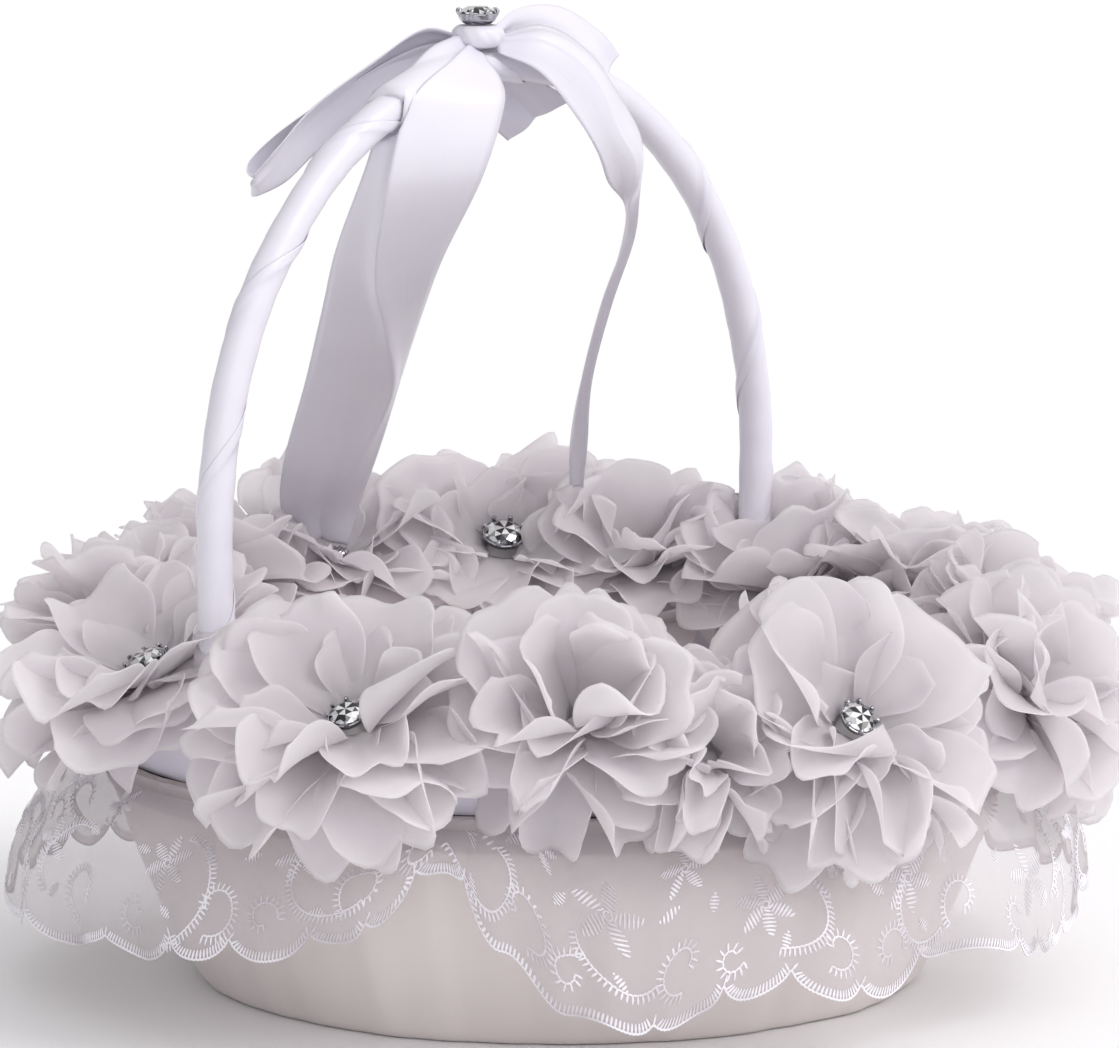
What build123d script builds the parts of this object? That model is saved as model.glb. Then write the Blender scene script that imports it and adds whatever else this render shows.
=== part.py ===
"""Flower girl basket: a satin covered board basket with a wrapped hoop handle, a gathered
organza ruffle, a ring of petal flowers on the rim and a ribbon bow at the top of the hoop.

Millimetres, +Z up. The origin is the centre of the base on the floor. The hoop stands in a
plane parallel to XZ, and the bearing of each flower is measured from +X towards +Y.
"""

import os
from dataclasses import dataclass
from math import atan2, cos, radians, sin, sqrt, tan

from build123d import *

# Board carcass
base_radius = 88.0
rim_radius = 118.0
wall_height = 72.0
wall_board = 1.5
base_board_thickness = 2.5
fit_gap = 0.3

# Fabric on the carcass
base_cover_thickness = 0.8
cover_thickness = 3.2
cover_bulge = 2.5
lining_thickness = 1.0
floor_pad_thickness = 9.0
floor_pad_edge = 3.0
floor_pad_gap = 1.2

# Rim
rim_wire_diameter = 2.4
binding_thickness = 0.8
binding_depth = 11.0

# Ruffle
heading_height = 9.0
heading_thickness = 1.6
ruffle_hem_radius = 135.0
ruffle_hem_height = 13.0
ruffle_belly = 5.0
ruffle_thickness = 2.4

# Hoop handle
handle_top = 230.0
handle_setback = 20.0
handle_core_diameter = 6.4
handle_wrap_thickness = 1.5
wrap_clearance = 0.05
handle_rim_gap = 0.4
handle_foot_height = 30.0
handle_bend_radius = 40.0
socket_length = 16.0
socket_thickness = 0.9
socket_clearance = 0.15
socket_wall_gap = 0.6

# Flowers
flower_stand_off = 5.0
felt_radius = 11.0
felt_thickness = 1.2
felt_seat_gap = 0.6
petal_back_gap = 0.3
petal_depth = 19.0
petal_edge_low = 7.0
petal_edge_high = 12.0
throat_radius = 8.4
throat_height = 5.0
petal_neighbour_gap = 0.5
petal_clearance = 0.8

# Claw-set stones
stone_seat_gap = 0.2
claw_wall = 0.7
claw_height = 3.4
stone_fit = 0.08

# Bow
ribbon_thickness = 2.4
ribbon_width = 30.0
bow_gap = 0.4
knot_radius = 6.5
knot_height = 5.5
knot_offset = -8.0
bow_stone_diameter = 10.4


@dataclass(frozen=True)
class Flower:
    """Where one flower sits on the rim, how far it leans outwards, and its sizes."""

    name: str
    bearing: float
    lean: float
    petal_radius: float
    seat_in: float = 0.0
    seat_up: float = 0.0
    stone: float = 0.0


flowers = (
    Flower("01", 4.0, -25.0, 34.0, 6.0, 1.0),
    Flower("02", 27.0, -30.0, 31.0, 5.0, 6.0),
    Flower("03", 47.0, -32.0, 34.0, 3.0, 10.0, 11.6),
    Flower("04", 71.5, -22.0, 33.0, 4.0, 8.0, 4.2),
    Flower("05", 94.0, -5.0, 31.0, 6.0, 4.0),
    Flower("06", 122.0, 8.0, 31.0, 6.0, 2.0),
    Flower("07", 156.5, 24.0, 37.0, 8.0, 1.0, 11.0),
    Flower("08", 195.0, 32.0, 37.0, 0.0, -1.0, 9.6),
    Flower("09", 221.0, 48.0, 33.0, 3.0, 4.0),
    Flower("10", 235.0, 60.0, 23.0, -3.0, -3.0),
    Flower("11", 253.0, 48.0, 37.0, -1.0, -1.0, 9.6),
    Flower("12", 288.0, 44.0, 32.0, 1.0, -4.0),
    Flower("13", 315.0, 20.0, 30.0, 5.0, 0.0),
    Flower("14", 342.0, 10.0, 31.0, 6.0, 2.0),
)

# Derived sizes
wall_slope = (rim_radius - base_radius) / wall_height
wall_angle = atan2(rim_radius - base_radius, wall_height)
rim_mid = rim_radius - wall_board / 2
tube_radius = handle_core_diameter / 2 + wrap_clearance + handle_wrap_thickness
slot_half = max(wall_board, rim_wire_diameter) / 2 + fit_gap
binding_inner = rim_mid - slot_half - binding_thickness
binding_top = wall_height + fit_gap + rim_wire_diameter + fit_gap + binding_thickness
binding_bottom = wall_height - binding_depth
leg_reach = binding_inner - handle_rim_gap - tube_radius
handle_radius = sqrt(leg_reach**2 - handle_setback**2)
handle_centre_height = handle_top - handle_radius
floor_top = base_cover_thickness + base_board_thickness


def wall_outer(height):
    """Outer radius of the board wall at a height."""
    return base_radius + wall_slope * height


def wall_inner(height):
    """Inner radius of the board wall at a height."""
    return wall_outer(height) - wall_board


def turned(points):
    """Solid of revolution about Z of a closed outline of (radius, height) points."""
    outline = Polyline(*[(r, 0, z) for r, z in points], close=True)
    return revolve(make_face(outline), Axis.Z)


def wall_band(bottom, top, inside, outside):
    """Conical band that follows the wall, with both faces offset from its outer face."""
    return turned([
        (wall_outer(bottom) + inside, bottom),
        (wall_outer(bottom) + outside, bottom),
        (wall_outer(top) + outside, top),
        (wall_outer(top) + inside, top),
    ])


def base_parts():
    """Fabric under the base, the base board and the padded floor."""
    inner_low = wall_inner(base_cover_thickness) - fit_gap
    cover = Pos(0, 0, base_cover_thickness / 2) * Cylinder(
        base_radius - fit_gap, base_cover_thickness)
    board = Pos(0, 0, base_cover_thickness + base_board_thickness / 2) * Cylinder(
        inner_low, base_board_thickness)
    pad_radius = wall_inner(floor_top) - fit_gap - lining_thickness - floor_pad_gap
    pad = Pos(0, 0, floor_top + floor_pad_thickness / 2) * Cylinder(
        pad_radius, floor_pad_thickness)
    pad = fillet(pad.edges().group_by(Axis.Z)[-1], floor_pad_edge)
    return {"base_cover": cover, "base_board": board, "floor_pad": pad}


def wall_parts():
    """Board wall, gathered outer cover and the lining inside."""
    shell = wall_band(base_cover_thickness, wall_height, -wall_board, 0)
    lining = wall_band(
        floor_top + fit_gap, binding_bottom - fit_gap,
        -wall_board - fit_gap - lining_thickness, -wall_board - fit_gap)
    top = binding_bottom - fit_gap
    middle = top * 0.4
    cover = turned([
        (wall_outer(0) + fit_gap, 0),
        (wall_outer(0) + cover_thickness * 0.6, 0),
        (wall_outer(0) + cover_thickness, cover_thickness),
        (wall_outer(middle) + cover_thickness + cover_bulge, middle),
        (wall_outer(top) + cover_thickness, top),
        (wall_outer(top) + fit_gap, top),
    ])
    return {"side_shell": shell, "outer_cover": cover, "inner_lining": lining}


def rim_parts():
    """Wire on the board's top edge and the binding folded over both."""
    wire_centre = wall_height + fit_gap + rim_wire_diameter / 2
    wire = Pos(0, 0, wire_centre) * Torus(rim_mid, rim_wire_diameter / 2)
    low = binding_bottom
    slot_top = binding_top - binding_thickness
    low_mid = wall_outer(low) - wall_board / 2
    out_low, in_low = low_mid + slot_half, low_mid - slot_half
    out_high, in_high = rim_mid + slot_half, rim_mid - slot_half
    binding = turned([
        (out_low, low),
        (out_low + binding_thickness, low),
        (out_high + binding_thickness, wall_height),
        (out_high + binding_thickness, binding_top),
        (in_high - binding_thickness, binding_top),
        (in_high - binding_thickness, wall_height),
        (in_low - binding_thickness, low),
        (in_low, low),
        (in_high, wall_height),
        (in_high, slot_top),
        (out_high, slot_top),
        (out_high, wall_height),
    ])
    return {"rim_wire": wire, "rim_binding": binding}


def ruffle_parts():
    """Gathered heading strip round the cover's top, and the ruffle that flares from it."""
    top = binding_bottom - fit_gap
    bottom = top - heading_height
    lie = cover_thickness + cover_bulge * heading_height / (top * 0.6) + fit_gap
    heading = wall_band(bottom, top, lie, lie + heading_thickness)
    start_radius = wall_outer(top) + lie + heading_thickness + fit_gap
    half_height = (top + ruffle_hem_height) / 2
    half_radius = (start_radius + ruffle_hem_radius) / 2 + ruffle_belly
    ruffle = turned([
        (start_radius, top),
        (start_radius, bottom),
        (half_radius - ruffle_thickness, half_height),
        (ruffle_hem_radius - ruffle_thickness, ruffle_hem_height),
        (ruffle_hem_radius, ruffle_hem_height),
        (half_radius, half_height),
        (start_radius + ruffle_thickness, top),
    ])
    return {"ruffle_heading": heading, "lace_ruffle": ruffle}


def leg_foot():
    """Centre of a leg's foot, which stands just inside the lining, as (x, z)."""
    room = fit_gap + lining_thickness + socket_wall_gap + socket_thickness + socket_clearance
    reach = wall_inner(handle_foot_height) - (room + tube_radius) / cos(wall_angle)
    return sqrt(reach**2 - handle_setback**2), handle_foot_height


def leg_knee_height():
    """Height where a leg turns inwards, so that its lean is the wall's own slope."""
    foot_x, foot_z = leg_foot()
    return foot_z + (handle_radius - foot_x) / tan(wall_angle)


def handle_path():
    """Centre line of the hoop: leg, bend, straight, half circle and the same again."""
    foot_x, foot_z = leg_foot()
    y, knee = handle_setback, leg_knee_height()
    left = FilletPolyline(
        (-foot_x, y, foot_z), (-handle_radius, y, knee),
        (-handle_radius, y, handle_centre_height), radius=handle_bend_radius)
    arch = ThreePointArc(
        (-handle_radius, y, handle_centre_height), (0, y, handle_top),
        (handle_radius, y, handle_centre_height))
    right = FilletPolyline(
        (handle_radius, y, handle_centre_height), (handle_radius, y, knee),
        (foot_x, y, foot_z), radius=handle_bend_radius)
    return Wire(list(left.edges()) + list(arch.edges()) + list(right.edges()))


def hoop(radius, path):
    """Round bar of one radius along the hoop's centre line."""
    section = Plane(origin=path @ 0, z_dir=path % 0) * Circle(radius)
    return sweep(section, path=path)


def handle_parts():
    """Cane hoop, its ribbon wrap and the two ribbon sockets sewn to the lining."""
    path = handle_path()
    core = hoop(handle_core_diameter / 2, path)
    bore = hoop(handle_core_diameter / 2 + wrap_clearance, path)
    wrap = hoop(tube_radius, path) - bore
    foot_x, foot_z = leg_foot()
    rise = socket_length
    socket_inner = tube_radius + socket_clearance
    parts = {"handle_core": core, "handle_wrap": wrap}
    for side, name in ((-1, "handle_socket_left"), (1, "handle_socket_right")):
        foot = Vector(side * foot_x, handle_setback, foot_z)
        direction = Vector(side * sin(wall_angle), 0, cos(wall_angle))
        frame = Plane(origin=foot + direction * (rise / 2 + 1), z_dir=direction)
        ring = Cylinder(socket_inner + socket_thickness, rise) - Cylinder(socket_inner, rise)
        parts[name] = frame * ring
    return parts


def flower_frame(flower):
    """Plane of a flower's felt back, lifted along its normal until it clears the binding."""
    lean, turn = radians(flower.lean), radians(flower.bearing)
    reach = rim_mid - flower.seat_in + flower_stand_off * sin(lean)
    height = binding_top + flower.seat_up + flower_stand_off * cos(lean)
    corner = rim_mid + (slot_half + binding_thickness) * (1 if lean > 0 else -1)
    sunk = (corner - reach) * sin(lean) + (binding_top - height) * cos(lean)
    lift = max(0.0, sunk + felt_seat_gap)
    outward = Vector(cos(turn), sin(turn), 0)
    normal = outward * sin(lean) + Vector(0, 0, cos(lean))
    return Plane(
        origin=outward * reach + Vector(0, 0, height) + normal * lift,
        x_dir=(-sin(turn), cos(turn), 0), z_dir=normal)


def petal_head(radius):
    """Cup of petals: a flared back, a rounded edge and a hollow throat."""
    low = felt_thickness + petal_back_gap
    return turned([
        (0, low),
        (felt_radius, low),
        (radius - 1, petal_edge_low),
        (radius, (petal_edge_low + petal_edge_high) / 2),
        (radius - 1, petal_edge_high),
        (radius * 0.62, petal_depth),
        (throat_radius + 4, petal_depth * 0.6),
        (throat_radius, throat_height + 1),
        (throat_radius - 1, throat_height),
        (0, throat_height),
    ])


def cut_clear(shape, solids):
    """Largest piece of a shape once the space of other solids is taken out of it."""
    for solid in solids:
        shape = shape - solid
    return max(shape.solids(), key=lambda piece: piece.volume)


def head_centre(frame):
    """Middle of a flower's head, from which its border with a neighbour is measured."""
    return frame.origin + frame.z_dir * (petal_depth / 2)


def flower_parts(keep_clear):
    """Every flower: felt back, petals trimmed to its neighbours, and its claw-set stone."""
    parts = {}
    frames = {flower.name: flower_frame(flower) for flower in flowers}
    for index, flower in enumerate(flowers):
        frame = frames[flower.name]
        felt = frame * Pos(0, 0, felt_thickness / 2) * Cylinder(felt_radius, felt_thickness)
        parts[f"felt_disc_{flower.name}"] = cut_clear(felt, keep_clear)
        head = frame * petal_head(flower.petal_radius)
        here = head_centre(frame)
        for step in (-2, -1, 1, 2):
            there = head_centre(frames[flowers[(index + step) % len(flowers)].name])
            away = (here - there).normalized()
            border = (here + there) * 0.5 + away * (petal_neighbour_gap / 2)
            head = split(head, bisect_by=Plane(origin=border, z_dir=away), keep=Keep.TOP)
        parts[f"petals_{flower.name}"] = cut_clear(head, keep_clear)
        if flower.stone:
            seat = frame * Pos(0, 0, throat_height + stone_seat_gap)
            setting, stone = stone_pair(flower.stone)
            parts[f"claw_setting_{flower.name}"] = seat * setting
            parts[f"stone_{flower.name}"] = seat * stone
    return parts


def stone_pair(diameter):
    """Claw cup with a flat floor, and the cut stone that stands in it."""
    radius = diameter / 2
    wall = min(claw_wall, radius * 0.25)
    height = claw_height * diameter / bow_stone_diameter
    floor = height * 0.2
    bore = radius - wall
    cup = turned([
        (0, 0), (bore * 0.6, 0), (radius, height * 0.6), (radius, height),
        (bore, height), (bore, height * 0.6), (bore * 0.5, floor), (0, floor),
    ])
    stone_radius = bore - stone_fit
    low = floor + stone_fit
    stone = turned([
        (0, low + height * 0.1), (stone_radius, height * 0.75),
        (stone_radius, height * 0.9), (stone_radius * 0.6, height * 1.35),
        (0, height * 1.35),
    ])
    return cup, stone


def ribbon(stations):
    """Ribbon as one thick ruled strip through stations of a centre and a vector to its edge.

    The vector is in half widths of the ribbon, and shorter than one where the ribbon is
    folded or seen on its turn.
    """
    sections = []
    centres = [Vector(*centre) for centre, _ in stations]
    for index, (_, half) in enumerate(stations):
        before = centres[max(index - 1, 0)]
        after = centres[min(index + 1, len(centres) - 1)]
        along = (after - before).normalized()
        side = Vector(*half) * (ribbon_width / 2)
        side = side - along * side.dot(along)
        plane = Plane(origin=centres[index], x_dir=side, z_dir=along)
        sections.append(plane * Rectangle(side.length * 2, ribbon_thickness))
    return loft(sections, ruled=True)


def bow_parts(keep_clear):
    """Loops, tails, short end and knot of the bow, and the stone on top of it."""
    x, y = knot_offset, handle_setback
    knot_base = handle_top + tube_radius + bow_gap
    knot = Pos(x, y, knot_base + knot_height / 2) * Cylinder(knot_radius, knot_height)
    knot = fillet(knot.edges(), 2.0)
    side = knot_radius + bow_gap
    low = knot_base + 2
    strips = {
        "bow_loop_left": [
            ((x - side, y + 6, low + 2), (0.07, 0.13, 0.33)),
            ((-30, y + 12, low - 4), (0.13, 0.2, 0.53)),
            ((-62, y + 20, low - 24), (0.07, 0.13, 0.6))],
        "bow_loop_right": [
            ((x + side, y + 5, low + 4), (-0.07, 0.13, 0.27)),
            ((32, y + 8, low + 4), (-0.2, 0.2, 0.53)),
            ((56, y + 7, low - 6), (-0.27, 0.2, 0.47))],
        "bow_tail_wide": [
            ((x - side - 2, y - 9, low - 2), (0.4, -0.53, 0.07)),
            ((-34, y - 14, 222), (0.53, -0.73, 0.13)),
            ((-43, y - 6, 198), (0.53, -0.73, 0.07)),
            ((-27, 38, 172), (0.47, -0.6, 0)),
            ((-4, 62, 144), (0.6, -0.53, 0)),
            ((10, 82, 122), (0.6, -0.53, 0))],
        "bow_tail_slim": [
            ((x + side + 2, y - 8, low - 2), (-0.2, -0.47, 0.27)),
            ((24, y - 11, 226), (-0.27, -0.4, 0.6)),
            ((44, y - 10, 206), (0.4, -0.2, 0.4)),
            ((48, y - 4, 190), (0.27, 0, 0)),
            ((58, 31, 171), (0.2, -0.13, 0)),
            ((72, 49, 134), (0.2, -0.13, 0)),
            ((81, 59, 114), (0.13, -0.13, 0))],
        "bow_short_end": [
            ((x + 6, y + 9, low - 5), (0.6, 0.13, 0)),
            ((14, y + 11, 219), (0.8, 0.2, 0.53)),
            ((27, y + 12, 206), (0.33, 0.07, 0.27))],
    }
    parts = {"bow_knot": knot}
    for name, stations in strips.items():
        parts[name] = cut_clear(ribbon(stations), keep_clear + [knot])
    seat = Pos(x, y, knot_base + knot_height + stone_seat_gap)
    setting, stone = stone_pair(bow_stone_diameter)
    parts["bow_claw_setting"] = seat * setting
    parts["bow_stone"] = seat * stone
    return parts


def build_parts():
    """All sub-parts of the basket by node name."""
    parts = {}
    parts.update(base_parts())
    parts.update(wall_parts())
    parts.update(rim_parts())
    parts.update(ruffle_parts())
    parts.update(handle_parts())
    hoop_space = hoop(tube_radius + petal_clearance, handle_path())
    parts.update(bow_parts([hoop_space]))
    tails = [parts["bow_tail_wide"], parts["bow_tail_slim"]]
    parts.update(flower_parts([hoop_space, *tails]))
    return parts


def main():
    """Write one STEP file for each sub-part."""
    os.makedirs("parts", exist_ok=True)
    for name, shape in build_parts().items():
        export_step(shape, f"parts/{name}.step")


main()
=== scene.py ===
"""Looks of a flower girl basket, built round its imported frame.

A board basket in gathered ivory satin carries an embroidered organza ruffle, a ring of chiffon
flowers with claw-set stones, a hoop wrapped in satin ribbon and a ribbon bow on the hoop's top.
Every surface is a function of two parameters worked out on a numpy grid, in metres.
"""

import logging
import math
from dataclasses import dataclass, field
from enum import Enum

import bmesh
import bpy
import numpy as np
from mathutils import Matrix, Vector


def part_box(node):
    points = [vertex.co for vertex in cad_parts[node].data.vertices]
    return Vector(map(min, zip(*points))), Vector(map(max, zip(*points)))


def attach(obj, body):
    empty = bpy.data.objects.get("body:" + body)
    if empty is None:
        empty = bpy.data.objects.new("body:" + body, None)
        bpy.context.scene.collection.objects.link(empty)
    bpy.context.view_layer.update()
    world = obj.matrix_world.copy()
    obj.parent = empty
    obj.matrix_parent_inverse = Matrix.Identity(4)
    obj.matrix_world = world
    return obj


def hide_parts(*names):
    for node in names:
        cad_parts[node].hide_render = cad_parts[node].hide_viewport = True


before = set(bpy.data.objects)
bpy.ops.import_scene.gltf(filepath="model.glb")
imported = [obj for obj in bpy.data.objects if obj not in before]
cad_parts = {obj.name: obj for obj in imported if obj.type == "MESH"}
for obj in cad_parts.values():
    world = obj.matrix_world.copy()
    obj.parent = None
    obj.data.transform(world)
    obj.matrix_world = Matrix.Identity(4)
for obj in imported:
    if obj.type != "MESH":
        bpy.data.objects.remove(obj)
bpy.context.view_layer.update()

LOG = logging.getLogger("basket")
MM = 0.001
BODY = "root"
WEAVE_DEPTH = 0.3 * MM
GRAIN_DEPTH = 0.2 * MM
# Satin's ribs, as many times as long as they are wide.
RIB_LENGTH = 14


# ---------------------------------------------------------------- small tools


def linear(hex_colour: str) -> tuple[float, float, float, float]:
    """Turn an sRGB hex colour into the linear colour that a shader takes.

    Args:
        hex_colour: six hex digits, such as "e8e4ee".

    Returns:
        Red, green, blue and an alpha of 1. Each channel c is c / 12.92 when dark, else
        ((c + 0.055) / 1.055) to the power 2.4.
    """
    channels = [int(hex_colour[i : i + 2], 16) / 255 for i in (0, 2, 4)]
    values = [c / 12.92 if c <= 0.04045 else ((c + 0.055) / 1.055) ** 2.4 for c in channels]
    return (*values, 1.0)


def add_node(tree: bpy.types.NodeTree, kind: str, settings: dict | None = None,
             inputs: dict | None = None) -> bpy.types.Node:
    """Add one shader node.

    Args:
        tree: the node tree of the material.
        kind: the node's type name.
        settings: properties to set on the node itself.
        inputs: values or output sockets by input name or number.

    Returns:
        The new node, with each input set or linked.
    """
    node = tree.nodes.new(kind)
    for name, value in (settings or {}).items():
        setattr(node, name, value)
    for name, value in (inputs or {}).items():
        if isinstance(value, bpy.types.NodeSocket):
            tree.links.new(value, node.inputs[name])
        else:
            node.inputs[name].default_value = value
    return node


def smoothstep(x: np.ndarray, low: float, high: float) -> np.ndarray:
    """Ramp that is 0 below low and 1 above high: 3t^2 - 2t^3 of the share t between them."""
    t = np.clip((x - low) / (high - low), 0.0, 1.0)
    return t * t * (3 - 2 * t)


def waves(angle: np.ndarray, rng: np.random.Generator, counts: range, fall: float) -> np.ndarray:
    """Irregular ripple round a ring.

    Args:
        angle: angles in radians.
        rng: seeded generator, for the phases and shares.
        counts: whole numbers of waves per turn to add together.
        fall: power by which a wave's size falls with its count.

    Returns:
        Sum of cosines with random phases, scaled so that its greatest size is about 1.
    """
    total = np.zeros_like(angle)
    size = 0.0
    for count in counts:
        share = rng.uniform(0.5, 1.0) / count**fall
        total = total + share * np.cos(count * angle + rng.uniform(0, 2 * math.pi))
        size += share
    return total / (0.55 * size)


def periodic(angle: np.ndarray, stations: tuple[tuple[float, float], ...]) -> np.ndarray:
    """Smooth closed curve through (bearing in degrees, value) stations.

    Args:
        angle: angles in radians.
        stations: bearings in rising order, from 0 to 360, with their values.

    Returns:
        Values eased between neighbouring stations by a cosine, and joined round the turn.
    """
    bearing = np.degrees(angle) % 360
    where = np.array([b for b, _ in stations], float)
    value = np.array([v for _, v in stations], float)
    where = np.concatenate([[where[-1] - 360], where, [where[0] + 360]])
    value = np.concatenate([[value[-1]], value, [value[0]]])
    index = np.clip(np.searchsorted(where, bearing, side="right") - 1, 0, len(where) - 2)
    t = (bearing - where[index]) / (where[index + 1] - where[index])
    ease = (1 - np.cos(math.pi * t)) / 2
    return value[index] * (1 - ease) + value[index + 1] * ease


def unit(vectors: np.ndarray) -> np.ndarray:
    """Vectors along the last axis, each made one long."""
    return vectors / np.maximum(np.linalg.norm(vectors, axis=-1, keepdims=True), 1e-12)


def spline(points: np.ndarray, count: int) -> np.ndarray:
    """Smooth curve through a few points.

    Args:
        points: array of points, of any width.
        count: how many rows to return, evenly spaced in the curve's own parameter.

    Returns:
        Catmull-Rom interpolation: on each span the cubic whose slope at a point is half the
        step between that point's neighbours.
    """
    points = np.asarray(points, float)
    ends = np.vstack([2 * points[0] - points[1], points, 2 * points[-1] - points[-2]])
    t = np.linspace(0, len(points) - 1, count)
    span = np.minimum(t.astype(int), len(points) - 2)
    f = (t - span)[:, None]
    a, b, c, d = ends[span], ends[span + 1], ends[span + 2], ends[span + 3]
    return 0.5 * (2 * b + (c - a) * f + (2 * a - 5 * b + 4 * c - d) * f**2
                  + (3 * b - a - 3 * c + d) * f**3)


# ---------------------------------------------------------------- meshes from grids


@dataclass
class Patch:
    """A grid of points with a UV pair at each, which may close on itself either way."""

    points: np.ndarray
    uv: np.ndarray | None = None
    close_rows: bool = False
    close_columns: bool = False
    flip: bool = False
    # Painted light at each point: painted shade where positive, painted highlight where negative.
    tone: np.ndarray | None = None

    def faces(self) -> tuple[np.ndarray, np.ndarray]:
        """Quads of the grid.

        Returns:
            Corner numbers of each quad, and the UV pair at each corner, run past 1 where
            the grid closes.
        """
        rows, columns = self.points.shape[:2]
        i = np.arange(rows if self.close_rows else rows - 1)[:, None]
        j = np.arange(columns if self.close_columns else columns - 1)[None, :]
        i, j = [part.ravel() for part in np.broadcast_arrays(i, j)]
        order = [(0, 0), (1, 0), (1, 1), (0, 1)]
        if self.flip:
            order = order[::-1]
        quads = np.stack([((i + a) % rows) * columns + (j + b) % columns for a, b in order], 1)
        if self.uv is None:
            pairs = np.stack([np.stack([(i + a) / rows, (j + b) / columns], 1)
                              for a, b in order], 1)
        else:
            turn = self.uv[-1, 0] - self.uv[0, 0] if rows > 1 else np.zeros(2)
            pairs = np.stack([self.uv[(i + a) % rows, (j + b) % columns]
                              + np.where((i + a >= rows)[:, None], turn * rows / (rows - 1), 0)
                              for a, b in order], 1)
        return quads, pairs


def mesh_piece(name: str, patches: list[Patch], smooth: bool = True) -> bpy.types.Object:
    """Make one object from grids.

    Args:
        name: the piece's name.
        patches: its grids, in metres in the row frame.
        smooth: whether faces are shaded smooth.

    Returns:
        The object at the origin, with a UV map, and an attribute of painted light and shade
        from the patches.
    """
    verts, quads, pairs, tones, start = [], [], [], [], 0
    for patch in patches:
        faces, corners = patch.faces()
        verts.append(patch.points.reshape(-1, 3))
        quads.append(faces + start)
        pairs.append(corners.reshape(-1, 2))
        tone = 0.0 if patch.tone is None else patch.tone
        tones.append(np.broadcast_to(tone, patch.points.shape[:-1]).ravel())
        start += patch.points.size // 3
    verts, quads, pairs = np.concatenate(verts), np.concatenate(quads), np.concatenate(pairs)
    mesh = bpy.data.meshes.new(name)
    mesh.vertices.add(len(verts))
    mesh.vertices.foreach_set("co", verts.astype(np.float32).ravel())
    mesh.loops.add(quads.size)
    mesh.loops.foreach_set("vertex_index", quads.astype(np.int32).ravel())
    mesh.polygons.add(len(quads))
    mesh.polygons.foreach_set("loop_start", np.arange(0, quads.size, 4, dtype=np.int32))
    mesh.polygons.foreach_set("loop_total", np.full(len(quads), 4, dtype=np.int32))
    mesh.update(calc_edges=True)
    mesh.validate()
    layer = mesh.uv_layers.new(name="UVMap")
    layer.data.foreach_set("uv", pairs.astype(np.float32).ravel())
    attribute = mesh.attributes.new("tone", "FLOAT", "POINT")
    attribute.data.foreach_set("value", np.concatenate(tones).astype(np.float32))
    mesh.polygons.foreach_set("use_smooth", np.full(len(mesh.polygons), smooth))
    piece = bpy.data.objects.new(name, mesh)
    bpy.context.scene.collection.objects.link(piece)
    return piece


def thicken(piece: bpy.types.Object, thickness: float, offset: float = 0.0) -> None:
    """Give a sheet its real thickness with a Solidify modifier.

    Args:
        piece: the sheet.
        thickness: thickness of its cloth.
        offset: -1 to grow to the back, 1 to the front and 0 to both.
    """
    wall = piece.modifiers.new("thickness", "SOLIDIFY")
    wall.thickness = thickness
    wall.offset = offset
    wall.use_rim = True


def place(piece: bpy.types.Object, material: bpy.types.Material,
          replaced: tuple[str, ...] = ()) -> bpy.types.Object:
    """Put a finished piece into the frame.

    Args:
        piece: the new object.
        material: its finish.
        replaced: CAD nodes that it stands for.

    Returns:
        The same object, riding on the basket's body.
    """
    piece.data.materials.clear()
    piece.data.materials.append(material)
    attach(piece, BODY)
    if replaced:
        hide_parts(*replaced)
    LOG.info("%s: %d faces", piece.name, len(piece.data.polygons))
    return piece


# ---------------------------------------------------------------- finishes


def new_material(name: str) -> tuple[bpy.types.Material, bpy.types.NodeTree]:
    """Start a material.

    Args:
        name: the finish's name.

    Returns:
        The material, and its node tree with nothing in it.
    """
    material = bpy.data.materials.new(name)
    material.use_nodes = True
    material.node_tree.nodes.clear()
    return material, material.node_tree


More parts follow.
